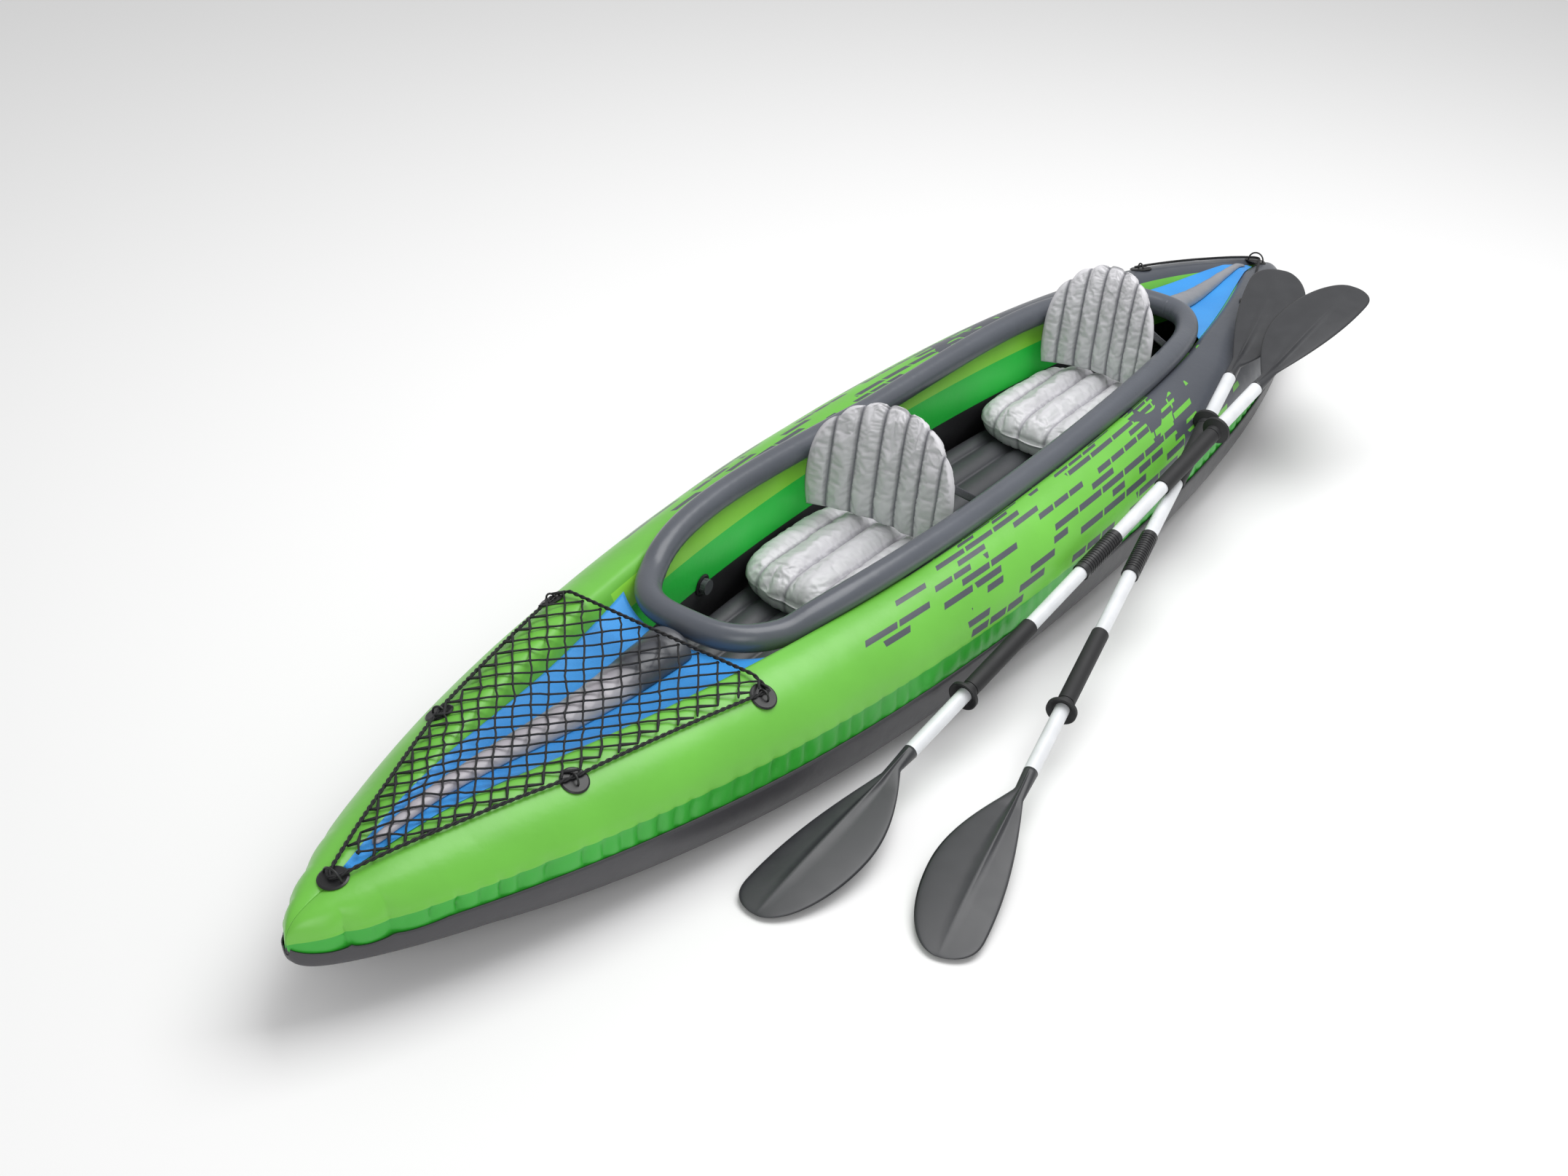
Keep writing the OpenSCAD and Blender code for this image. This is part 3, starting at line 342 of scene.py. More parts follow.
# The print is rows of slanted slate bars that crowd towards the stern, where slate fills the gaps too.
# Below the seam the film is a plain darker green. Beside the cockpit it is plain too: a lime strip under the
# coaming and green down the wall, both drawn brighter than their film as painted light against the coaming's
# shade.
def side_print(tree):
    place = wire(tree, "ShaderNodeTexCoord")
    ahead = wire(tree, "ShaderNodeSeparateXYZ", Vector=place.outputs["Object"]).outputs["X"]
    around = wire(tree, "ShaderNodeSeparateXYZ", Vector=place.outputs["UV"]).outputs["Y"]
    girth = wire(tree, "ShaderNodeMath", times, i0=around, i1=tube_girth)
    leant = wire(tree, "ShaderNodeMath", times_plus, i0=girth, i1=bar_slant, i2=ahead)
    rows = wire(tree, "ShaderNodeCombineXYZ", X=leant, Y=girth)
    bars = wire(tree, "ShaderNodeTexBrick", bar_layout, Vector=rows, Color1=(0, 0, 0, 1),
                Color2=(1, 1, 1, 1), Mortar=(1, 1, 1, 1), Scale=1.0, Mortar_Size=bar_gap,
                Mortar_Smooth=0.0, Bias=0.0, Brick_Width=bar_length, Row_Height=bar_height)
    aft = wire(tree, "ShaderNodeMapRange", Value=ahead, i1=bar_from, i2=bar_to, i3=0.0, i4=bar_most)
    dense = wire(tree, "ShaderNodeMath", {"operation": "POWER"}, i0=aft, i1=bar_growth)
    struck = wire(tree, "ShaderNodeMath", below, i0=bars.outputs["Color"], i1=dense)
    drift = wire(tree, "ShaderNodeTexNoise", Vector=rows, Scale=turn_patches, Detail=0.0).outputs["Fac"]
    ragged = wire(tree, "ShaderNodeMath", times_plus, i0=drift, i1=turn_spread, i2=ahead)
    backed = wire(tree, "ShaderNodeMath", below, i0=ragged, i1=bar_turn)
    gaps = wire(tree, "ShaderNodeMath", times, i0=bars.outputs["Fac"], i1=backed)
    filled = wire(tree, "ShaderNodeMath", larger, i0=struck, i1=gaps)
    solid = wire(tree, "ShaderNodeMath", below, i0=ahead, i1=bar_to)
    inked = wire(tree, "ShaderNodeMath", larger, i0=filled, i1=solid)
    over_seam = wire(tree, "ShaderNodeMath", above, i0=around, i1=seam_line)
    under_cloth = wire(tree, "ShaderNodeMath", below, i0=around, i1=cloth_line)
    outside = wire(tree, "ShaderNodeMath", times, i0=over_seam, i1=under_cloth)
    ink = wire(tree, "ShaderNodeMath", times, i0=outside, i1=inked)
    past_rear = wire(tree, "ShaderNodeMath", above, i0=ahead, i1=cockpit_from)
    short_of_front = wire(tree, "ShaderNodeMath", below, i0=ahead, i1=cockpit_to)
    cockpit = wire(tree, "ShaderNodeMath", times, i0=past_rear, i1=short_of_front)
    past_cloth = wire(tree, "ShaderNodeMath", above, i0=around, i1=cloth_line)
    brightened_strip = wire(tree, "ShaderNodeMath", times, i0=past_cloth, i1=cockpit)
    past_wall = wire(tree, "ShaderNodeMath", above, i0=around, i1=wall_line)
    inside = wire(tree, "ShaderNodeMath", times, i0=past_wall, i1=cockpit)
    zones = wire(tree, "ShaderNodeValToRGB", Fac=around)
    zones.color_ramp.interpolation = "CONSTANT"
    zones.color_ramp.elements[0].color = linear("#2F2E31")
    zones.color_ramp.elements[1].position = foot_line
    zones.color_ramp.elements[1].color = linear("#33A932")
    zones.color_ramp.elements.new(seam_line).color = linear("#6DBD42")
    colour = zones.outputs["Color"]
    # The strip and the wall have real lime and green, lightened as painted light to offset the shade under
    # the coaming.
    for mask, paint in ((ink, "#4C5058"), (brightened_strip, "#8FDC46"), (inside, "#2ACB48")):
        colour = wire(tree, "ShaderNodeMix", two_tone, Factor=mask, i6=colour, i7=linear(paint)).outputs[2]
    return colour


lime_film = pvc_film("printed_lime_pvc_film", side_print)
for name, side in (("port", 1), ("starboard", -1)):
    tube = shaped_sheet(name + "_side_tube", 600, 160, tube_wall(side))
    tube.data.materials.append(lime_film)
    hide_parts(name + "_chamber")
    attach(tube, "hull")


# Bottom sheet: heavy charcoal PVC laid under the floor and welded up round both tubes.
# It is a smooth skin with a cut edge just below the side seams.
skin_thick = 0.0025
skin_gap = 0.0005
skin_top = -6.0
skin_slack = 0.014
skin_flat = 0.35
skin_scallop = 16


def skin_path(u, v):
    x = station(u)
    across = 2 * v - 1
    side = 1 if across >= 0 else -1
    grow = skin_gap + skin_thick + 0.002 * share(x) ** 6
    if abs(across) < skin_flat:
        point = on_tube(x, -90, grow)
        point.y *= abs(across) / skin_flat
    else:
        scallop = skin_scallop * nose_share(x) * (pucker(x, scallop_pitch, side + 4) - 0.7)
        edge = skin_top + scallop
        climb = (abs(across) - skin_flat) / (1 - skin_flat)
        grow += skin_slack * math.sin(math.pi * climb) * (1 - share(x) ** 6)
        point = on_tube(x, -90 + (90 + edge) * climb, grow)
        point.z = max(point.z, 0.0005)
    point.y *= side
    return point


def finish_with(piece, kind, **settings):
    bpy.context.view_layer.objects.active = piece
    change = piece.modifiers.new(kind.lower(), kind)
    for key, value in settings.items():
        setattr(change, key, value)
    bpy.ops.object.modifier_apply(modifier=change.name)


bottom = shaped_sheet("bottom_sheet", 300, 72, skin_path, shut=False)
finish_with(bottom, "SOLIDIFY", thickness=skin_thick, offset=-1)
charcoal_film = pvc_film("charcoal_pvc_film", "#3A393D", 0.42)
bottom.data.materials.append(charcoal_film)
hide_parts("bottom_skin")
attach(bottom, "hull")


# Floor: an air mattress of lengthwise beams, pinched flat where its ends are welded.
# The beams swell between the welded webs, so its top is a row of rolls.
floor_low, floor_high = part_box("floor_chamber")
beams = 6
floor_height = 0.092
beam_valley = 0.16
floor_gap = 0.004
floor_foot = 0.0033


def floor_form(u, v):
    end = 2 * u - 1
    x = floor_low.x + (floor_high.x - floor_low.x) * u
    under = v < 0.5
    s = 4 * v - 1 if under else 3 - 4 * v
    half = (crown(x) - tube_in - floor_gap) * (1 - 0.06 * abs(end) ** 30)
    swell = math.sqrt(max(0.0, 1 - abs(end) ** 40))
    rim = math.sqrt(max(0.0, 1 - abs(s) ** 8))
    roll = abs(math.sin(math.pi / 2 * beams * (s + 1))) ** 0.6
    top_at = 0.5 + 0.5 * rim - beam_valley * (1 - roll) * rim
    level_at = 0.5 - 0.5 * rim if under else top_at
    base = floor_foot + keel_lift(x)
    return Vector((x, half * s, base + floor_height * (0.5 + (level_at - 0.5) * swell)))


mattress = shaped_sheet("floor_mattress", 150, 192, floor_form)
mattress.data.materials.append(pvc_film("dark_floor_pvc_film", "#434448", 0.45))
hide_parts("floor_chamber")
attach(mattress, "hull")


# Coaming: one inflated grey roll round the cockpit, welded to the tubes' inner shoulders.
# Its film gathers in short folds along the inside of each bend.
roll_radius = 0.027
coaming_low, coaming_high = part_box("coaming")
coaming_front = coaming_high.x - roll_radius
coaming_rear = coaming_low.x + roll_radius
coaming_mid = (coaming_front + coaming_rear) / 2
coaming_reach = (coaming_front - coaming_rear) / 2
coaming_half = 0.207
front_flare = 0.149
rear_taper = 0.08
front_height = 0.276
rear_height = 0.284
coaming_round = 5.2
gather_least = 0.0008
gather_most = 0.005


def signed_power(value, power):
    return math.copysign(abs(value) ** power, value)


def coaming_plan(turn):
    power, flare = (2 / 3.17, front_flare) if math.cos(turn) > 0 else (2 / 3.2, rear_taper)
    lengthwise = signed_power(math.cos(turn), power)
    sideways = signed_power(math.sin(turn), power)
    return Vector((coaming_mid + coaming_reach * lengthwise,
                   coaming_half * (1 + flare * lengthwise) * sideways))


def coaming_line(turn):
    plan = coaming_plan(turn)
    grow = roll_radius + 0.001
    off = (abs(plan.y) - crown(plan.x)) / (tube_in + grow)
    on_side = tube_mid(plan.x) + (tube_round(plan.x) + grow) * math.sqrt(max(0.0, 1 - off * off))
    reach = min(1.0, max(0.0, (plan.x - coaming_rear) / (2 * coaming_reach)))
    free = rear_height + (front_height - rear_height) * reach
    return Vector((plan.x, plan.y, (on_side + free + math.hypot(on_side - free, 0.008)) / 2))


def even_turn(u):
    lean = 2 * math.pi * u
    return lean - 0.16 * math.sin(4 * lean)


def coaming_out(turn):
    step = coaming_plan(turn + 0.004) - coaming_plan(turn - 0.004)
    return Vector((step.y, -step.x, 0)).normalized()


def coaming_form(u, v):
    turn = even_turn(u)
    centre = coaming_line(turn)
    outward = coaming_out(turn)
    bend = (coaming_out(turn + 0.06) - coaming_out(turn - 0.06)).length
    angle = 2 * math.pi * v
    inside = max(0.0, -math.cos(angle)) ** 2
    gather = inside * (gather_least + gather_most * min(1.0, bend * 2))
    gather *= pucker(u * coaming_round, 0.032, 5)
    gather *= min(1.0, 30 * u, 30 * (1 - u))
    wander = Vector((2.5 * math.cos(2 * math.pi * u), 2.5 * math.sin(2 * math.pi * u), math.cos(angle)))
    radius = roll_radius + 0.0008 * noise.noise(wander) - gather
    return centre + radius * (outward * math.cos(angle) + Vector((0, 0, math.sin(angle))))


coaming = shaped_sheet("coaming_roll", 420, 40, coaming_form)
slate_film = pvc_film("slate_pvc_film", "#565A62", 0.3)
coaming.data.materials.append(slate_film)
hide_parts("coaming")
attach(coaming, "hull")


# Deck cloths: coated blue fabric stretched between the tubes from the coaming to each tip.
# The cloth dips between its welded edges and creases towards its corners.
def deck(start, bow, half, tip, gap=0.0009, dip=0.09, tip_half=0.007):
    def place(u, v):
        across = 2 * v - 1
        way = math.copysign(1, tip)
        x = start - way * bow * across * across
        x += (tip - x) * u
        width = half + (tip_half - half) * u
        edge_x = start - way * bow
        edge_x += (tip - edge_x) * u
        height = tube_top(edge_x, width) + gap - dip * width * (1 - across ** 4)
        crease = 0.0012 * noise.noise(Vector((x * 30, across * 2, 4))) * (1 - abs(across))
        return Vector((x, width * across, height + crease))
    return place


bow_deck_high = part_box("bow_deck_sheet")[1]
stern_deck_low, stern_deck_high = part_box("stern_deck_sheet")
bow_deck_start = coaming_front + roll_radius + 0.006
stern_deck_start = coaming_rear - roll_radius - 0.009
bow_deck = deck(bow_deck_start, 0.058, bow_deck_high.y, bow_deck_high.x)
stern_deck = deck(stern_deck_start, 0.09, stern_deck_high.y, stern_deck_low.x)
deck_thick = 0.002
blue_cloth, tree, shader = finish_of("coated_blue_cloth")
spot = wire(tree, "ShaderNodeTexCoord").outputs["Object"]
# A coated weave has a dull sheen. Its threads are half a millimetre, drawn at 3 mm so that they show.
thread_scale = 1 / 0.003 / 6.28
warp, weft = [wire(tree, "ShaderNodeTexWave", {"bands_direction": way}, Vector=spot, Scale=thread_scale,
                   Distortion=0.4).outputs["Fac"] for way in ("X", "Y")]
woven = wire(tree, "ShaderNodeMath", times, i0=warp, i1=weft)
cloud = wire(tree, "ShaderNodeTexNoise", Vector=spot, Scale=9.0, Detail=4.0)
tone = wire(tree, "ShaderNodeMix", two_tone, Factor=cloud.outputs["Fac"], i6=linear("#1E86D8"),
            i7=linear("#36A0EE"))
knit = wire(tree, "ShaderNodeBump", Height=woven, Strength=0.25, Distance=0.0008)
tree.links.new(tone.outputs[2], shader.inputs["Base Color"])
tree.links.new(knit.outputs["Normal"], shader.inputs["Normal"])
shader.inputs["Roughness"].default_value = 0.5
shader.inputs["Sheen Weight"].default_value = 0.15
for name, form, cut in (("bow", bow_deck, (0.35, 0.93)), ("stern", stern_deck, (0.3, 0.58))):
    cloth = shaped_sheet(name + "_deck_cloth", 90, 48, form, shut=False)
    finish_with(cloth, "SOLIDIFY", thickness=deck_thick, offset=1)
    bpy.ops.object.mode_set(mode="EDIT")
    bpy.ops.mesh.select_all(action="SELECT")
    bpy.ops.mesh.normals_make_consistent(inside=False)
    bpy.ops.object.mode_set(mode="OBJECT")
    cloth.data.materials.append(blue_cloth)
    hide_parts(name + "_deck_sheet")
    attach(cloth, "hull")


# Deck rolls: grey inflated ribs that hold each deck up along its centre line.
# Each is fat at the coaming and fines to the tip. The bow's is its own paler grey ahead and is painted dark
# slate beside the coaming, a painted shade.
rib_fine = 0.1
rib_power = 0.9
bow_rib_width = 0.112
bow_rib_height = 0.046


def rib_taper(at):
    return 1 + (rib_fine - 1) * at ** rib_power


def rib(deck_form, width, height, gap, start=0.005, stop=0.93):
    def place(u, v):
        at = start + (stop - start) * u
        foot = deck_form(at, 0.5) + Vector((0, 0, deck_thick + gap))
        taper = rib_taper(at)
        closing = math.sqrt(max(0.0, 1 - abs(2 * u - 1) ** 60))
        turn = 2 * math.pi * v
        up = max(0.0, math.sin(turn))
        fold = 0.22 * pucker(foot.x + 0.01 * math.cos(turn), 0.055, 9) * up
        rise = height * taper * (1 - fold) * up * closing + 0.0006
        return foot + Vector((0, width / 2 * taper * closing * math.cos(turn), rise))
    return place


# The bow roll's dark slate beside the coaming is painted shade; the pale grey ahead is its film's own colour.
def rib_tone_with_painted_shade(tree):
    spot = wire(tree, "ShaderNodeTexCoord").outputs["Object"]
    ahead = wire(tree, "ShaderNodeSeparateXYZ", Vector=spot).outputs["X"]
    reach = wire(tree, "ShaderNodeMapRange", Value=ahead, i1=0.7, i2=1.2).outputs[0]
    coaming_shade = wire(tree, "ShaderNodeValToRGB", Fac=reach)
    coaming_shade.color_ramp.elements[0].position = 0.4
    coaming_shade.color_ramp.elements[0].color = linear("#484A50")
    coaming_shade.color_ramp.elements[1].position = 0.5
    coaming_shade.color_ramp.elements[1].color = linear("#A9A5AC")
    return coaming_shade.outputs["Color"]


bow_rib = rib(bow_deck, bow_rib_width, bow_rib_height, 0.0014)
stern_rib = rib(stern_deck, 0.07, 0.034, 0.0013)
for name, form, tone in (("bow", bow_rib, rib_tone_with_painted_shade), ("stern", stern_rib, "#8E9096")):
    roll = shaped_sheet(name + "_deck_roll", 120, 48, form)
    roll.data.materials.append(pvc_film(name + "_roll_pvc_film", tone))
    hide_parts(name + "_rib")
    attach(roll, "hull")


# Cargo net: black knotted twine in diamond meshes, stretched over the bow deck to its border.
# The meshes shrink a little towards the bow, and strands end where they are tied to the border.
net_low, net_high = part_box("cargo_net")
net_rear = net_low.x
net_front = net_high.x
net_tip = 1.655
net_mid = 1.228
net_rear_half = net_high.y + 0.002
net_mid_half = 0.148
mesh_rear = 0.046
mesh_front = 0.031
mesh_long = 1.2
twine = 0.0019
knot_swell = 1.75
knot_reach = 0.0035
knot_stray = 0.005
twine_sag = 0.003
net_lift = 0.0035
net_margin = 0.006
net_seed = 1


def net_edge(x):
    if x > net_mid:
        return net_mid_half * (1 - (x - net_mid) / (net_tip - net_mid))
    return net_rear_half + (net_mid_half - net_rear_half) * (x - net_rear) / (net_mid - net_rear)


def rib_top(x, y):
    at = min(1.0, max(0.0, (x - bow_deck_start) / (bow_deck_high.x - bow_deck_start)))
    taper = rib_taper(at)
    off = 2 * y / (bow_rib_width * taper)
    foot = bow_deck(at, 0.5).z + deck_thick + 0.002
    return foot + bow_rib_height * taper * math.sqrt(max(0.0, 1 - off * off))


def net_height(x, y):
    ridge = rib_top(x, 0)
    slope = ridge + (crown_top(x) - ridge) * min(1.0, abs(y) / max(0.001, crown(x)))
    return net_lift + max(slope, rib_top(x, y), tube_top(x, abs(y)))


def mesh_wide(x):
    return mesh_rear + (mesh_front - mesh_rear) * (x - net_rear) / (net_front - net_rear)


def net_row(row):
    x = net_rear
    for step in range(row):
        x += mesh_long * mesh_wide(x) / 2
    return x


def on_net(x, y):
    return Vector((x, y, net_height(x, y)))


def net_knot(row, column):
    x = row_x[row]
    stray = noise.noise_vector(Vector((row * 1.7, column * 2.3, 6))) * knot_stray
    return on_net(x + (stray.x if row else 0), column * mesh_wide(x) + stray.y)


def within(row, column):
    return row in row_x and abs(column) * mesh_wide(row_x[row]) < net_edge(row_x[row]) - net_margin


def tied(inner, outer):
    low, high = 0.0, 1.0
    for halving in range(12):
        middle = (low + high) / 2
        x, y = inner.lerp(outer, middle).xy
        if x > net_front or abs(y) > net_edge(x) + 0.004:
            high = middle
        else:
            low = middle
    return on_net(*inner.lerp(outer, low).xy)


def beyond(row, column):
    x = row_x.get(row, net_front + 0.02)
    return on_net(x, column * mesh_wide(x))


def twine_strand(splines, points):
    strand = splines.new("POLY")
    strand.points.add(len(points) - 1)
    for point, (place, swell) in zip(strand.points, points):
        point.co = (*place, 1)
        point.radius = swell
    return strand


def between(a, b):
    way = (b - a).normalized() * knot_reach
    sag = noise.noise_vector(a * 60) * twine_sag
    middle = (a + b) / 2 + Vector((sag.x, sag.y, 0))
    middle.z = max(middle.z, net_height(middle.x, middle.y))
    return [(a + way, 1), (middle, 1), (b - way, 1)]


def cord_curve(name, radius, smoothness):
    curve = bpy.data.curves.new(name, "CURVE")
    curve.dimensions = "3D"
    curve.bevel_depth = radius
    curve.bevel_resolution = smoothness
    cord = bpy.data.objects.new(name, curve)
    bpy.context.collection.objects.link(cord)
    return cord


def made_mesh(cord):
    bpy.ops.object.select_all(action="DESELECT")
    cord.select_set(True)
    bpy.context.view_layer.objects.active = cord
    bpy.ops.object.convert(target="MESH")
    bpy.ops.object.shade_smooth()


# The knots stray by a fixed seed, so that every run ties the same net.
noise.seed_set(net_seed)
row_x = {row: net_row(row) for row in range(60) if net_row(row) < net_front}
strands = []
for row in row_x:
    for column in [half / 2 for half in range(-14, 15) if half % 2 == row % 2 and within(row, half / 2)]:
        for lean in (-0.5, 0.5):
            if within(row - 1, column - lean):
                continue
            run = [(net_knot(row, column), knot_swell)]
            if row:
                run = [(tied(run[0][0], beyond(row - 1, column - lean)), 1)] + run
            at, across = row, column
            while within(at + 1, across + lean):
                at, across = at + 1, across + lean
                knot = net_knot(at, across)
                run += between(run[-1][0], knot) + [(knot, knot_swell)]
            run.append((tied(run[-1][0], beyond(at + 1, across + lean)), 1))
            strands.append(run)
net = cord_curve("bow_net", twine, 2)
net.data.use_fill_caps = True
for run in strands:
    twine_strand(net.data.splines, run)
made_mesh(net)
bpy.ops.object.mode_set(mode="EDIT")
bpy.ops.mesh.select_all(action="SELECT")
bpy.ops.mesh.remove_doubles(threshold=0.00001)
bpy.ops.object.mode_set(mode="OBJECT")
black_twine, tree, shader = finish_of("black_braided_twine")
spot = wire(tree, "ShaderNodeTexCoord").outputs["Object"]
# Braided cord is dull and speckled. Its crossings are about a millimetre apart, drawn at 2 mm to show.
braid = wire(tree, "ShaderNodeTexVoronoi", Vector=spot, Scale=1 / 0.002)
fibre = wire(tree, "ShaderNodeMix", two_tone, Factor=braid.outputs["Distance"], i6=linear("#232326"),
             i7=linear("#0E0E10"))
rise = wire(tree, "ShaderNodeBump", Height=braid.outputs["Distance"], Strength=0.5, Distance=0.0006)
tree.links.new(fibre.outputs[2], shader.inputs["Base Color"])
tree.links.new(rise.outputs["Normal"], shader.inputs["Normal"])
shader.inputs["Roughness"].default_value = 0.72
net.data.materials.append(black_twine)
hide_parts("cargo_net")
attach(net, "hull")


# Net border: the doubled cord that the net's edge is tied to, twisted and held under the patches' loops.
# It runs down each side of the bow and back across the deck roll ahead of the coaming.
cord_radius = 0.003
cord_clear = 0.0088
lay_radius = 0.0019
lay_pitch = 0.03
lay_strand = 0.0021
border_off = 0.006
border_lift = 0.006


def border_point(x, side):
    y = net_edge(x) + border_off
    height = crown_top(x) if y < crown(x) else tube_top(x, y)
    return Vector((x, side * y, height + cord_clear))


border_rear = net_rear - 0.0034
nose = net_tip - 0.012
steps = 16
border_route = [border_point(border_rear + (nose - border_rear) * i / steps, 1) for i in range(steps + 1)]
border_route.append(Vector((net_tip, 0, crown_top(net_tip) + cord_clear)))
border_route += [border_point(nose + (border_rear - nose) * i / steps, -1) for i in range(steps + 1)]
rear_half = net_edge(border_rear) + border_off
rear_ys = [rear_half * (2 * i / 14 - 1) for i in range(1, 14)]
border_route += [Vector((border_rear, y, net_height(border_rear, y) + border_lift)) for y in rear_ys]


def even_route(points, step, closed):
    ends = points + points[:1] if closed else points
    spaced = []
    carry = 0.0
    for a, b in zip(ends, ends[1:]):
        length = (b - a).length
        while carry < length:
            spaced.append(a.lerp(b, carry / length))
            carry += step
        carry -= length
    return spaced


def twisted(route, phase, radius, pitch, step, closed):
    count = len(route)
    strand = []
    for i, place in enumerate(route):
        ahead = route[(i + 1) % count] if closed else route[min(i + 1, count - 1)]
        back = route[i - 1] if closed else route[max(i - 1, 0)]
        way = (ahead - back).normalized()
        flat = way.cross(Vector((0, 0, 1))).normalized()
        turn = 2 * math.pi * i * step / pitch + phase
        strand.append(place + radius * (flat * math.cos(turn) + flat.cross(way) * math.sin(turn)))
    return strand


border_step = 0.005
even_border = even_route(border_route, border_step, True)
border = cord_curve("net_border", lay_strand, 2)
for phase in (0, math.pi):
    lay = twisted(even_border, phase, lay_radius, lay_pitch, border_step, True)
    strand = twine_strand(border.data.splines, [(place, 1) for place in lay])
    strand.use_cyclic_u = True
made_mesh(border)
border.data.materials.append(black_twine)
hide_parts("net_border_cord")
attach(border, "hull")


# Stern line: a black cord from a patch on each quarter round the stern tip, pulled taut.
# It is one open length, held at each quarter patch.
grab_x = -1.31
grab_half = 0.15
grab_tip = -1.672
grab_tip_half = 0.005
grab_from = grab_x + 0.024
grab_to = grab_tip + 0.008


def grab_point(x, side):
    y = grab_half + (grab_tip_half - grab_half) * (x - grab_x) / (grab_tip - grab_x)
    height = crown_top(x) if y < crown(x) else tube_top(x, y)
    return Vector((x, side * y, height + cord_clear))


grab_xs = [grab_from + (grab_to - grab_from) * i / 10 for i in range(11)]
grab_route = [grab_point(x, 1) for x in grab_xs]
grab_route.append(Vector((grab_tip, 0, crown_top(grab_tip) + cord_clear)))
grab_route += [grab_point(x, -1) for x in reversed(grab_xs)]
line = cord_curve("stern_line", cord_radius, 3)
line.data.use_fill_caps = True
even_grab = even_route(grab_route, 0.006, False)
twine_strand(line.data.splines, [(place, 1) for place in even_grab])
line.data.materials.append(black_twine)
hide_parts("stern_grab_line")
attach(line, "hull")


# Patches, anchors and valves: moulded black PVC discs welded to the film, with turned caps.
# Their solids are exact, so each keeps its shape and takes a moulded finish.
# Moulding leaves a fine grit and a gloss that is worn unevenly by handling.
def moulded(name, colour, rough, grit):
    made, tree, shader = finish_of(name)
    spot = wire(tree, "ShaderNodeTexCoord").outputs["Object"]
    spark = wire(tree, "ShaderNodeTexNoise", Vector=spot, Scale=1 / grit, Detail=2.0)
    cloud = wire(tree, "ShaderNodeTexNoise", Vector=spot, Scale=24.0, Detail=3.0)
    worn = wire(tree, "ShaderNodeMapRange", Value=cloud.outputs["Fac"], i3=rough - 0.08, i4=rough + 0.1)
    tone = [c * 1.35 + 0.004 for c in linear(colour)[:3]] + [1]
    mixed = wire(tree, "ShaderNodeMix", two_tone, Factor=cloud.outputs["Fac"], i6=linear(colour), i7=tone)
    rise = wire(tree, "ShaderNodeBump", Height=spark.outputs["Fac"], Strength=0.2, Distance=grit / 4)
    tree.links.new(mixed.outputs[2], shader.inputs["Base Color"])
    tree.links.new(worn.outputs["Result"], shader.inputs["Roughness"])
    tree.links.new(rise.outputs["Normal"], shader.inputs["Normal"])
    return made


def coat(node, finish):
    materials = frame["nodes"][node].data.materials
    materials.clear()
    materials.append(finish)


black_patch = moulded("moulded_black_pvc", "#161618", 0.36, 0.0012)
cap_plastic = moulded("moulded_grey_cap", "#4A4C50", 0.45, 0.001)
for node in ("net_patches", "stern_patches", "strap_anchors", "port_valve", "starboard_valve", "floor_valve"):
    coat(node, black_patch)
for node in ("port_valve_cap", "starboard_valve_cap", "floor_valve_cap"):
    coat(node, cap_plastic)


# Seat cushions: inflated light grey PVC pads with welded lengthwise channels and a welded edge.
# Air pressure swells each channel, and the film puckers where the welds hold it down.
seat_channels = 5
seat_height = 0.093
seat_edge = 0.36
seat_weld = 0.0015
seat_most = 0.19
seat_square = 7
flange = 0.972
seat_gap = 0.005
seat_groove = 0.36
seat_lobe = 0.006
gather_pitch = 0.03
gather_share = 0.42
weld_reach = 0.003
pad_swell = 0.05
seat_move = 0.006
air_steps = 22
pale_film = "#D3D2D6"


def bulge(value, power):
    return math.sqrt(max(0.0, 1 - abs(value) ** power))


def channel(value, count, depth):
    return 1 - depth * valley(value, count)


def valley(value, count):
    return 1 - abs(math.sin(math.pi / 2 * count * (value + 1))) ** 0.8


# The film is painted darker in the welded valleys, where little light falls.
def welded_film(name, half, count, groove, spread):
    def tone(tree):
        spot = wire(tree, "ShaderNodeTexCoord").outputs["Object"]
        sideways = wire(tree, "ShaderNodeSeparateXYZ", Vector=spot).outputs["Y"]
        turn = wire(tree, "ShaderNodeMath", times_plus, i0=sideways, i1=math.pi / 2 * count / half,
                    i2=math.pi / 2 * count)
        wave = wire(tree, "ShaderNodeMath", {"operation": "SINE"}, i0=turn)
        crest = wire(tree, "ShaderNodeMath", {"operation": "ABSOLUTE"}, i0=wave)
        shade = wire(tree, "ShaderNodeValToRGB", Fac=crest)
        shade.color_ramp.elements[0].position = 0.02
        shade.color_ramp.elements[0].color = linear(groove)
        shade.color_ramp.elements[1].position = spread
        shade.color_ramp.elements[1].color = linear(pale_film)
        return shade.outputs["Color"]
    return pvc_film(name, tone, 0.4)


def seat_half(x):
    return min(seat_most, crown(x) - tube_in - seat_gap)


def gathers(along, sideways, near_end, near_side, seed):
    return max(pucker(along, gather_pitch, seed) * near_side,
               pucker(sideways, gather_pitch, seed + 3) * near_end)


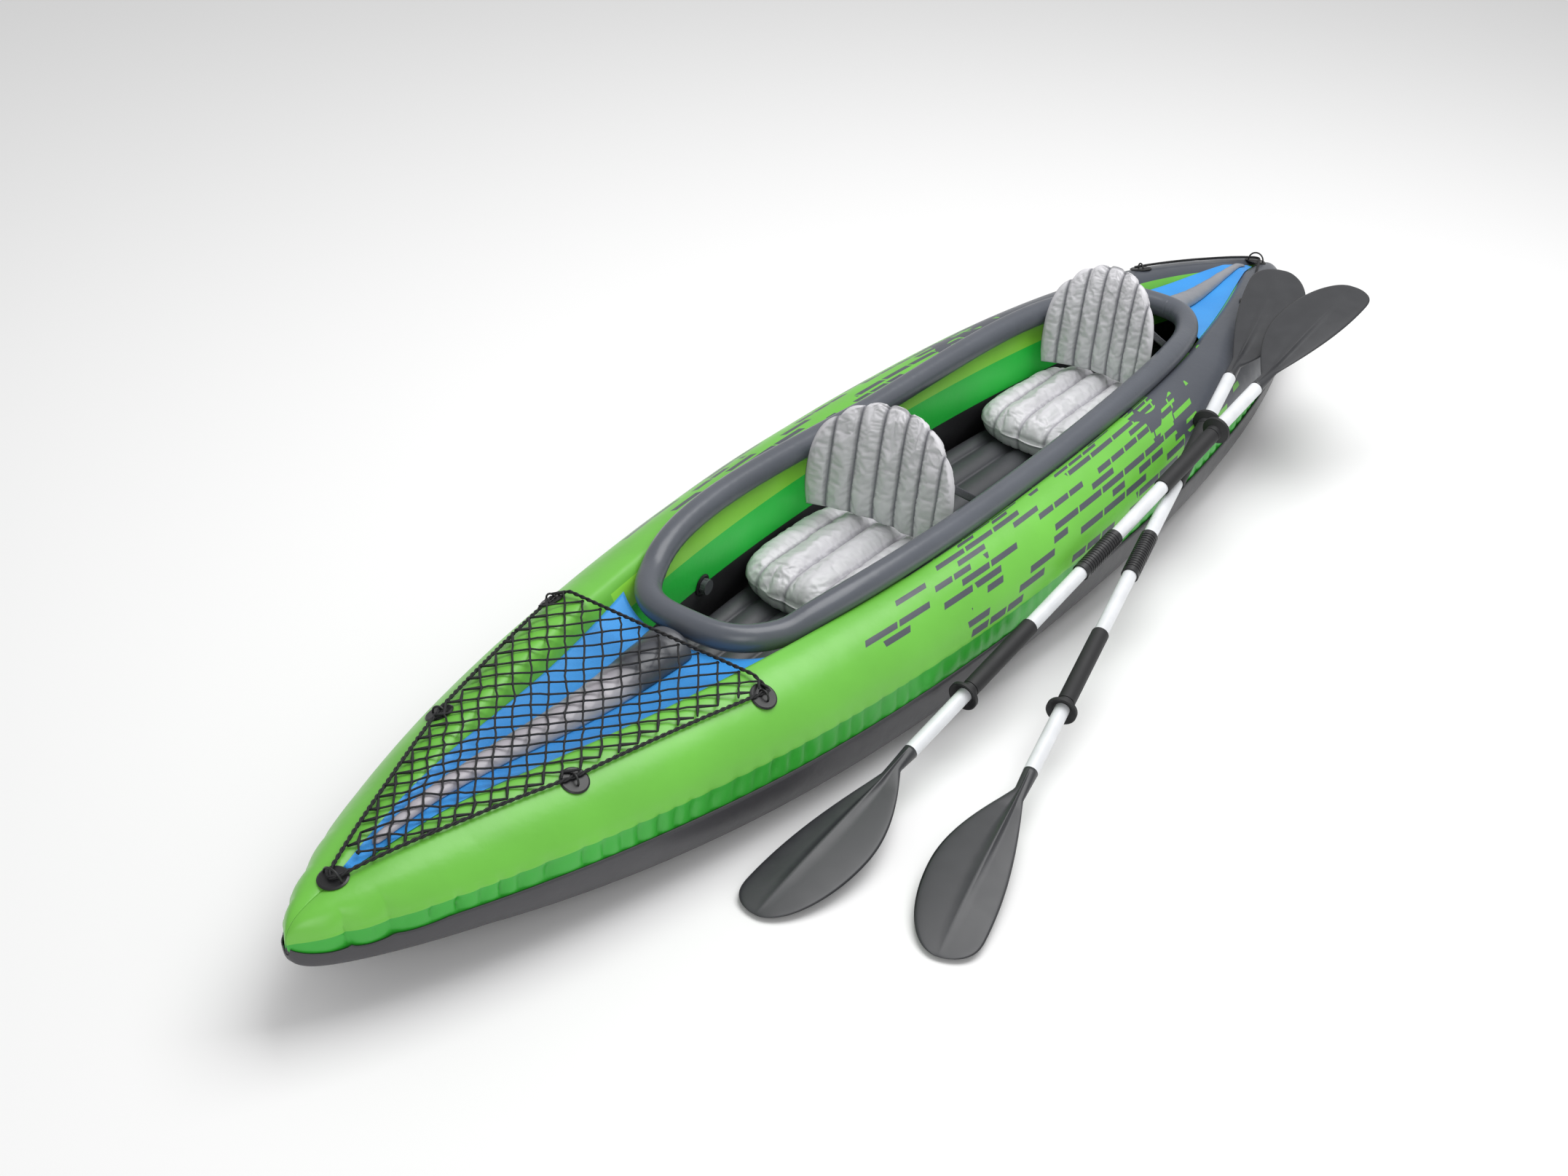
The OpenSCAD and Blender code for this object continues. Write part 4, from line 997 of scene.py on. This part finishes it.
def seat_form(low, high):
    def place(u, v):
        end = math.sin(math.pi / 2 * (2 * u - 1))
        x = low.x + (high.x - low.x) * (1 + end) / 2
        under = v < 0.5
        s = 4 * v - 1 if under else 3 - 4 * v
        half = seat_half(x) * (1 - abs(end) ** seat_square) ** 0.4
        half *= 1 - 0.12 * end * end if end > 0 else 1
        y = half * s
        rim = seat_edge * seat_height
        end_fill = bulge(end / flange, seat_square)
        side_fill = bulge(s / flange, 3)
        drawn = gather_share * gathers(x, y, 1 - end_fill, 1 - side_fill, 11)
        fill = end_fill * side_fill * (1 - drawn)
        weld = seat_weld * bulge(s, 60) * bulge(end, 60)
        if under:
            height = (rim - weld) * (1 - min(1, 1.7 * fill))
        else:
            groove = channel(y / high.y, seat_channels, seat_groove - 0.16 * max(0.0, end) ** 4)
            height = rim + weld + (seat_height - rim - weld) * fill * groove
        lobe = seat_lobe * valley(y / high.y, seat_channels) * abs(end) ** 9
        return Vector((x - math.copysign(lobe, end), y, low.z + height))
    return place


def inflate(piece, held, swell, cap):
    before = [point.co.copy() for point in piece.data.vertices]
    weld = piece.vertex_groups.new(name="weld")
    weld.add([point.index for point in piece.data.vertices if held(point.co)], 1.0, "REPLACE")
    air = piece.modifiers.new("air", "CLOTH")
    air.settings.quality = 6
    air.settings.mass = 0.2
    air.settings.tension_stiffness = 25
    air.settings.compression_stiffness = 25
    air.settings.shear_stiffness = 12
    air.settings.bending_stiffness = 0.4
    air.settings.shrink_min = -swell
    air.settings.use_pressure = True
    air.settings.uniform_pressure_force = 5
    air.settings.vertex_group_mass = "weld"
    air.settings.effector_weights.gravity = 0
    air.collision_settings.use_collision = False
    air.point_cache.frame_start = 1
    air.point_cache.frame_end = air_steps
    for step in range(1, air_steps + 1):
        bpy.context.scene.frame_set(step)
    bpy.context.view_layer.objects.active = piece
    bpy.ops.object.modifier_apply(modifier="air")
    bpy.context.scene.frame_set(1)
    for point, old in zip(piece.data.vertices, before):
        move = point.co - old
        if move.length > cap:
            point.co = old + move.normalized() * cap
    piece.vertex_groups.clear()


for name in ("front", "rear"):
    low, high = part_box(name + "_seat")
    pad = shaped_sheet(name + "_seat_pad", 110, 200, seat_form(low, high))
    rim = low.z + seat_edge * seat_height
    valleys = [high.y * (2 * k / seat_channels - 1) for k in range(1, seat_channels)]

    def held(point):
        return point.z < rim + 0.004 or min(abs(point.y - y) for y in valleys) < weld_reach

    inflate(pad, held, pad_swell, seat_move)
    film = welded_film(name + "_pale_grey_seat_film", high.y, seat_channels, "#98979D", 0.3)
    pad.data.materials.append(film)
    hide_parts(name + "_seat")
    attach(pad, "hull")


# Backrests: arched inflated pads with upright channels, welded at the foot to the cushion's rear.
# They curve round the paddler's back, and the film gathers along the arched edge.
back_height = 0.262
back_thick = 0.053
back_wrap = 0.044
back_lean = math.radians(6)
back_channels = 7
arch_from = 0.34
back_groove = 0.55
back_lobe = 0.05
back_edge = 0.012
back_move = 0.005
joint_at = {joint["name"]: joint for joint in frame["record"]["behaviour"]["joints"]}


def arch(v):
    if v < arch_from:
        return 1 - 0.06 * (1 - v / arch_from) ** 2
    return bulge((v - arch_from) / (1 - arch_from), 2.3)


def back_form(low, width, hinge):
    def place(u, v):
        at = math.sin(math.pi / 2 * u)
        front = v < 0.5
        s = 4 * v - 1 if front else 3 - 4 * v
        y = width / 2 * arch(at) * s
        z = low.z + back_height * at
        middle = hinge[0] + back_wrap * (2 * y / width) ** 2 - (z - hinge[2]) * math.tan(back_lean)
        end_fill = bulge(1 - min(1, at / 0.22), 2) * bulge(at / flange, 7)
        side_fill = bulge(s / flange, 3)
        drawn = gathers(z, y, 1 - bulge(at, 4), 1 - side_fill, 17)
        fill = end_fill * side_fill * (1 - gather_share * drawn)
        fill *= channel(2 * y / width, back_channels, back_groove)
        weld = seat_weld * bulge(s, 60) * bulge(at, 60) * min(1.0, 50 * at)
        thick = weld + (back_thick / 2 - weld) * fill
        lobe = back_lobe * valley(2 * y / width, back_channels) * max(abs(s), at) ** 8 * at
        return Vector((middle + (thick if front else -thick), y * (1 - lobe), z - 0.16 * lobe))
    return place


for name in ("front", "rear"):
    low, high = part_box(name + "_backrest")
    width = high.y - low.y
    hinge = joint_at[name + "_backrest_tilt"]["pos_m"]
    pad = shaped_sheet(name + "_backrest_pad", 96, 220, back_form(low, width, hinge))
    def held(point):
        at = min(1, max(0, (point.z - low.z) / back_height))
        near = min(abs(point.y - width * (k / back_channels - 0.5)) for k in range(1, back_channels))
        return near < weld_reach or at < 0.03 or abs(point.y) > width / 2 * arch(at) - back_edge

    inflate(pad, held, pad_swell, back_move)
    film = welded_film(name + "_pale_grey_back_film", width / 2, back_channels, "#74747B", 0.42)
    pad.data.materials.append(film)
    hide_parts(name + "_backrest")
    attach(pad, name + "_backrest")


# Straps: flat grey webbing from each backrest's side to the anchor on the tube behind it.
# Woven nylon tape, sewn round the anchor's post at its foot and to the pad at its head.
webbing, tree, shader = finish_of("woven_grey_webbing")
spot = wire(tree, "ShaderNodeTexCoord").outputs["UV"]
# Nylon tape is dull, with slanting ribs in the weave.
ribs = wire(tree, "ShaderNodeTexWave", {"bands_direction": "DIAGONAL"}, Vector=spot, Scale=40.0,
            Distortion=0.6)
thread = wire(tree, "ShaderNodeMix", two_tone, Factor=ribs.outputs["Fac"], i6=linear("#4A4B50"),
              i7=linear("#6D6E74"))
rise = wire(tree, "ShaderNodeBump", Height=ribs.outputs["Fac"], Strength=0.4, Distance=0.0006)
tree.links.new(thread.outputs[2], shader.inputs["Base Color"])
tree.links.new(rise.outputs["Normal"], shader.inputs["Normal"])
shader.inputs["Roughness"].default_value = 0.7
strap_wide = 0.02
strap_thick = 0.0016
strap_wave = 0.002
foot_inset = 0.006
for seat in ("front", "rear"):
    for name, side in (("port", 1), ("starboard", -1)):
        low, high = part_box(seat + "_" + name + "_strap")
        outer = high.y if side > 0 else low.y
        inner = low.y if side > 0 else high.y
        foot = Vector((low.x + foot_inset, outer - side * foot_inset, low.z + strap_wide / 2))
        head = Vector((high.x - 0.001, inner + side * 0.0012, high.z - strap_wide / 2))

        def strap_form(u, v):
            point = foot.lerp(head, u)
            point.z += strap_wide * (v - 0.5)
            point.y += side * strap_wave * math.sin(math.pi * u) * math.sin(2 * math.pi * u)
            return point

        strap = shaped_sheet(seat + "_" + name + "_webbing", 40, 6, strap_form, shut=False)
        finish_with(strap, "SOLIDIFY", thickness=strap_thick, offset=0)
        strap.data.materials.append(webbing)
        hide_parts(seat + "_" + name + "_strap")
        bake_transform(strap)


# Paddle shafts, grips, rings and couplings: white coated alloy tubes in black rubber and moulded fittings.
# Their solids are exact turned parts, so they keep their shape.
shaft_coat = moulded("white_coated_alloy", "#CFD1D4", 0.3, 0.004)
grip_rubber = moulded("black_foam_rubber", "#18181A", 0.62, 0.0016)
coupling_black = moulded("moulded_black_nylon", "#1B1B1D", 0.42, 0.0012)
ferrule_metal, tree, shader = finish_of("drawn_aluminium")
shader.inputs["Base Color"].default_value = linear("#C9CBCE")
shader.inputs["Metallic"].default_value = 1.0
shader.inputs["Roughness"].default_value = 0.35
for paddle in ("bow", "stern"):
    for fitting, finish in (("shaft", shaft_coat), ("grip", grip_rubber), ("drip_ring", grip_rubber)):
        for half in ("lower", "upper"):
            coat("%s_paddle_%s_%s" % (paddle, half, fitting), finish)
    for fitting, finish in (("coupling", coupling_black), ("ferrule", ferrule_metal)):
        coat("%s_paddle_%s" % (paddle, fitting), finish)


# Blades: moulded charcoal plastic spoons with a ridge that runs out of the shaft's neck.
# One edge is fuller than the other, as on a blade that enters the water at a slant.
blade_len = 0.495
neck_share = 0.06
neck_radius = 0.015
shaft_end = 0.7
straight_edge = (0.84, 3.2, 0.064)
full_edge = (0.58, 2.0, 0.094)
web_thick = 0.0015
ridge_rise = 0.009
spoon_depth = 0.01
blade_plastic = moulded("moulded_charcoal_plastic", "#2E2F32", 0.36, 0.0012)


def blade_half(e, peak, blunt, wide):
    rise = math.sin(math.pi / 2 * min(1.0, max(0.0, e - neck_share) / (peak - neck_share)))
    fall = bulge(max(0.0, e - peak) / (1 - peak), blunt)
    return max(neck_radius * (1 - e), wide * rise * fall)


def blade_form(middle, along, side, turned):
    across = Vector((0, 0, 1)).cross(along).normalized()
    face = along.cross(across)

    def place(u, v):
        e = math.sin(math.pi / 2 * u)
        under = v < 0.5
        s = 4 * v - 1 if under else 3 - 4 * v
        half = blade_half(e, *(straight_edge if s * side * turned < 0 else full_edge))
        ridge = web_thick + ridge_rise * (1 - e) * max(0.0, 1 - 4 * abs(s)) ** 2
        neck = neck_radius * math.sqrt(max(0.0, 1 - s * s))
        blend = min(1.0, 5 * e)
        thick = (0.0004 + max(ridge, neck + (ridge - neck) * blend)) * bulge(s, 12)
        thick *= math.sqrt(max(0.0, 1 - e ** 60))
        spoon = spoon_depth * e * math.sin(math.pi * e) * (0.55 * (1 - s * s) + 0.45 * (1 - abs(s)))
        lengthwise = shaft_end + blade_len * e
        lifted = spoon + (-thick if under else thick)
        return middle + along * side * lengthwise + across * half * s + face * lifted
    return place


for paddle, turned in (("bow", 1), ("stern", -1)):
    feather = joint_at[paddle + "_paddle_feather"]
    middle = Vector(feather["pos_m"])
    along = Vector(feather["axis"]).normalized()
    for half, side, body in (("lower", -1, "_paddle"), ("upper", 1, "_paddle_upper")):
        node = "%s_paddle_%s_blade" % (paddle, half)
        blade = shaped_sheet(node + "_shell", 110, 72, blade_form(middle, along, side, turned))
        blade.data.materials.append(blade_plastic)
        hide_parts(node)
        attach(blade, paddle + body)
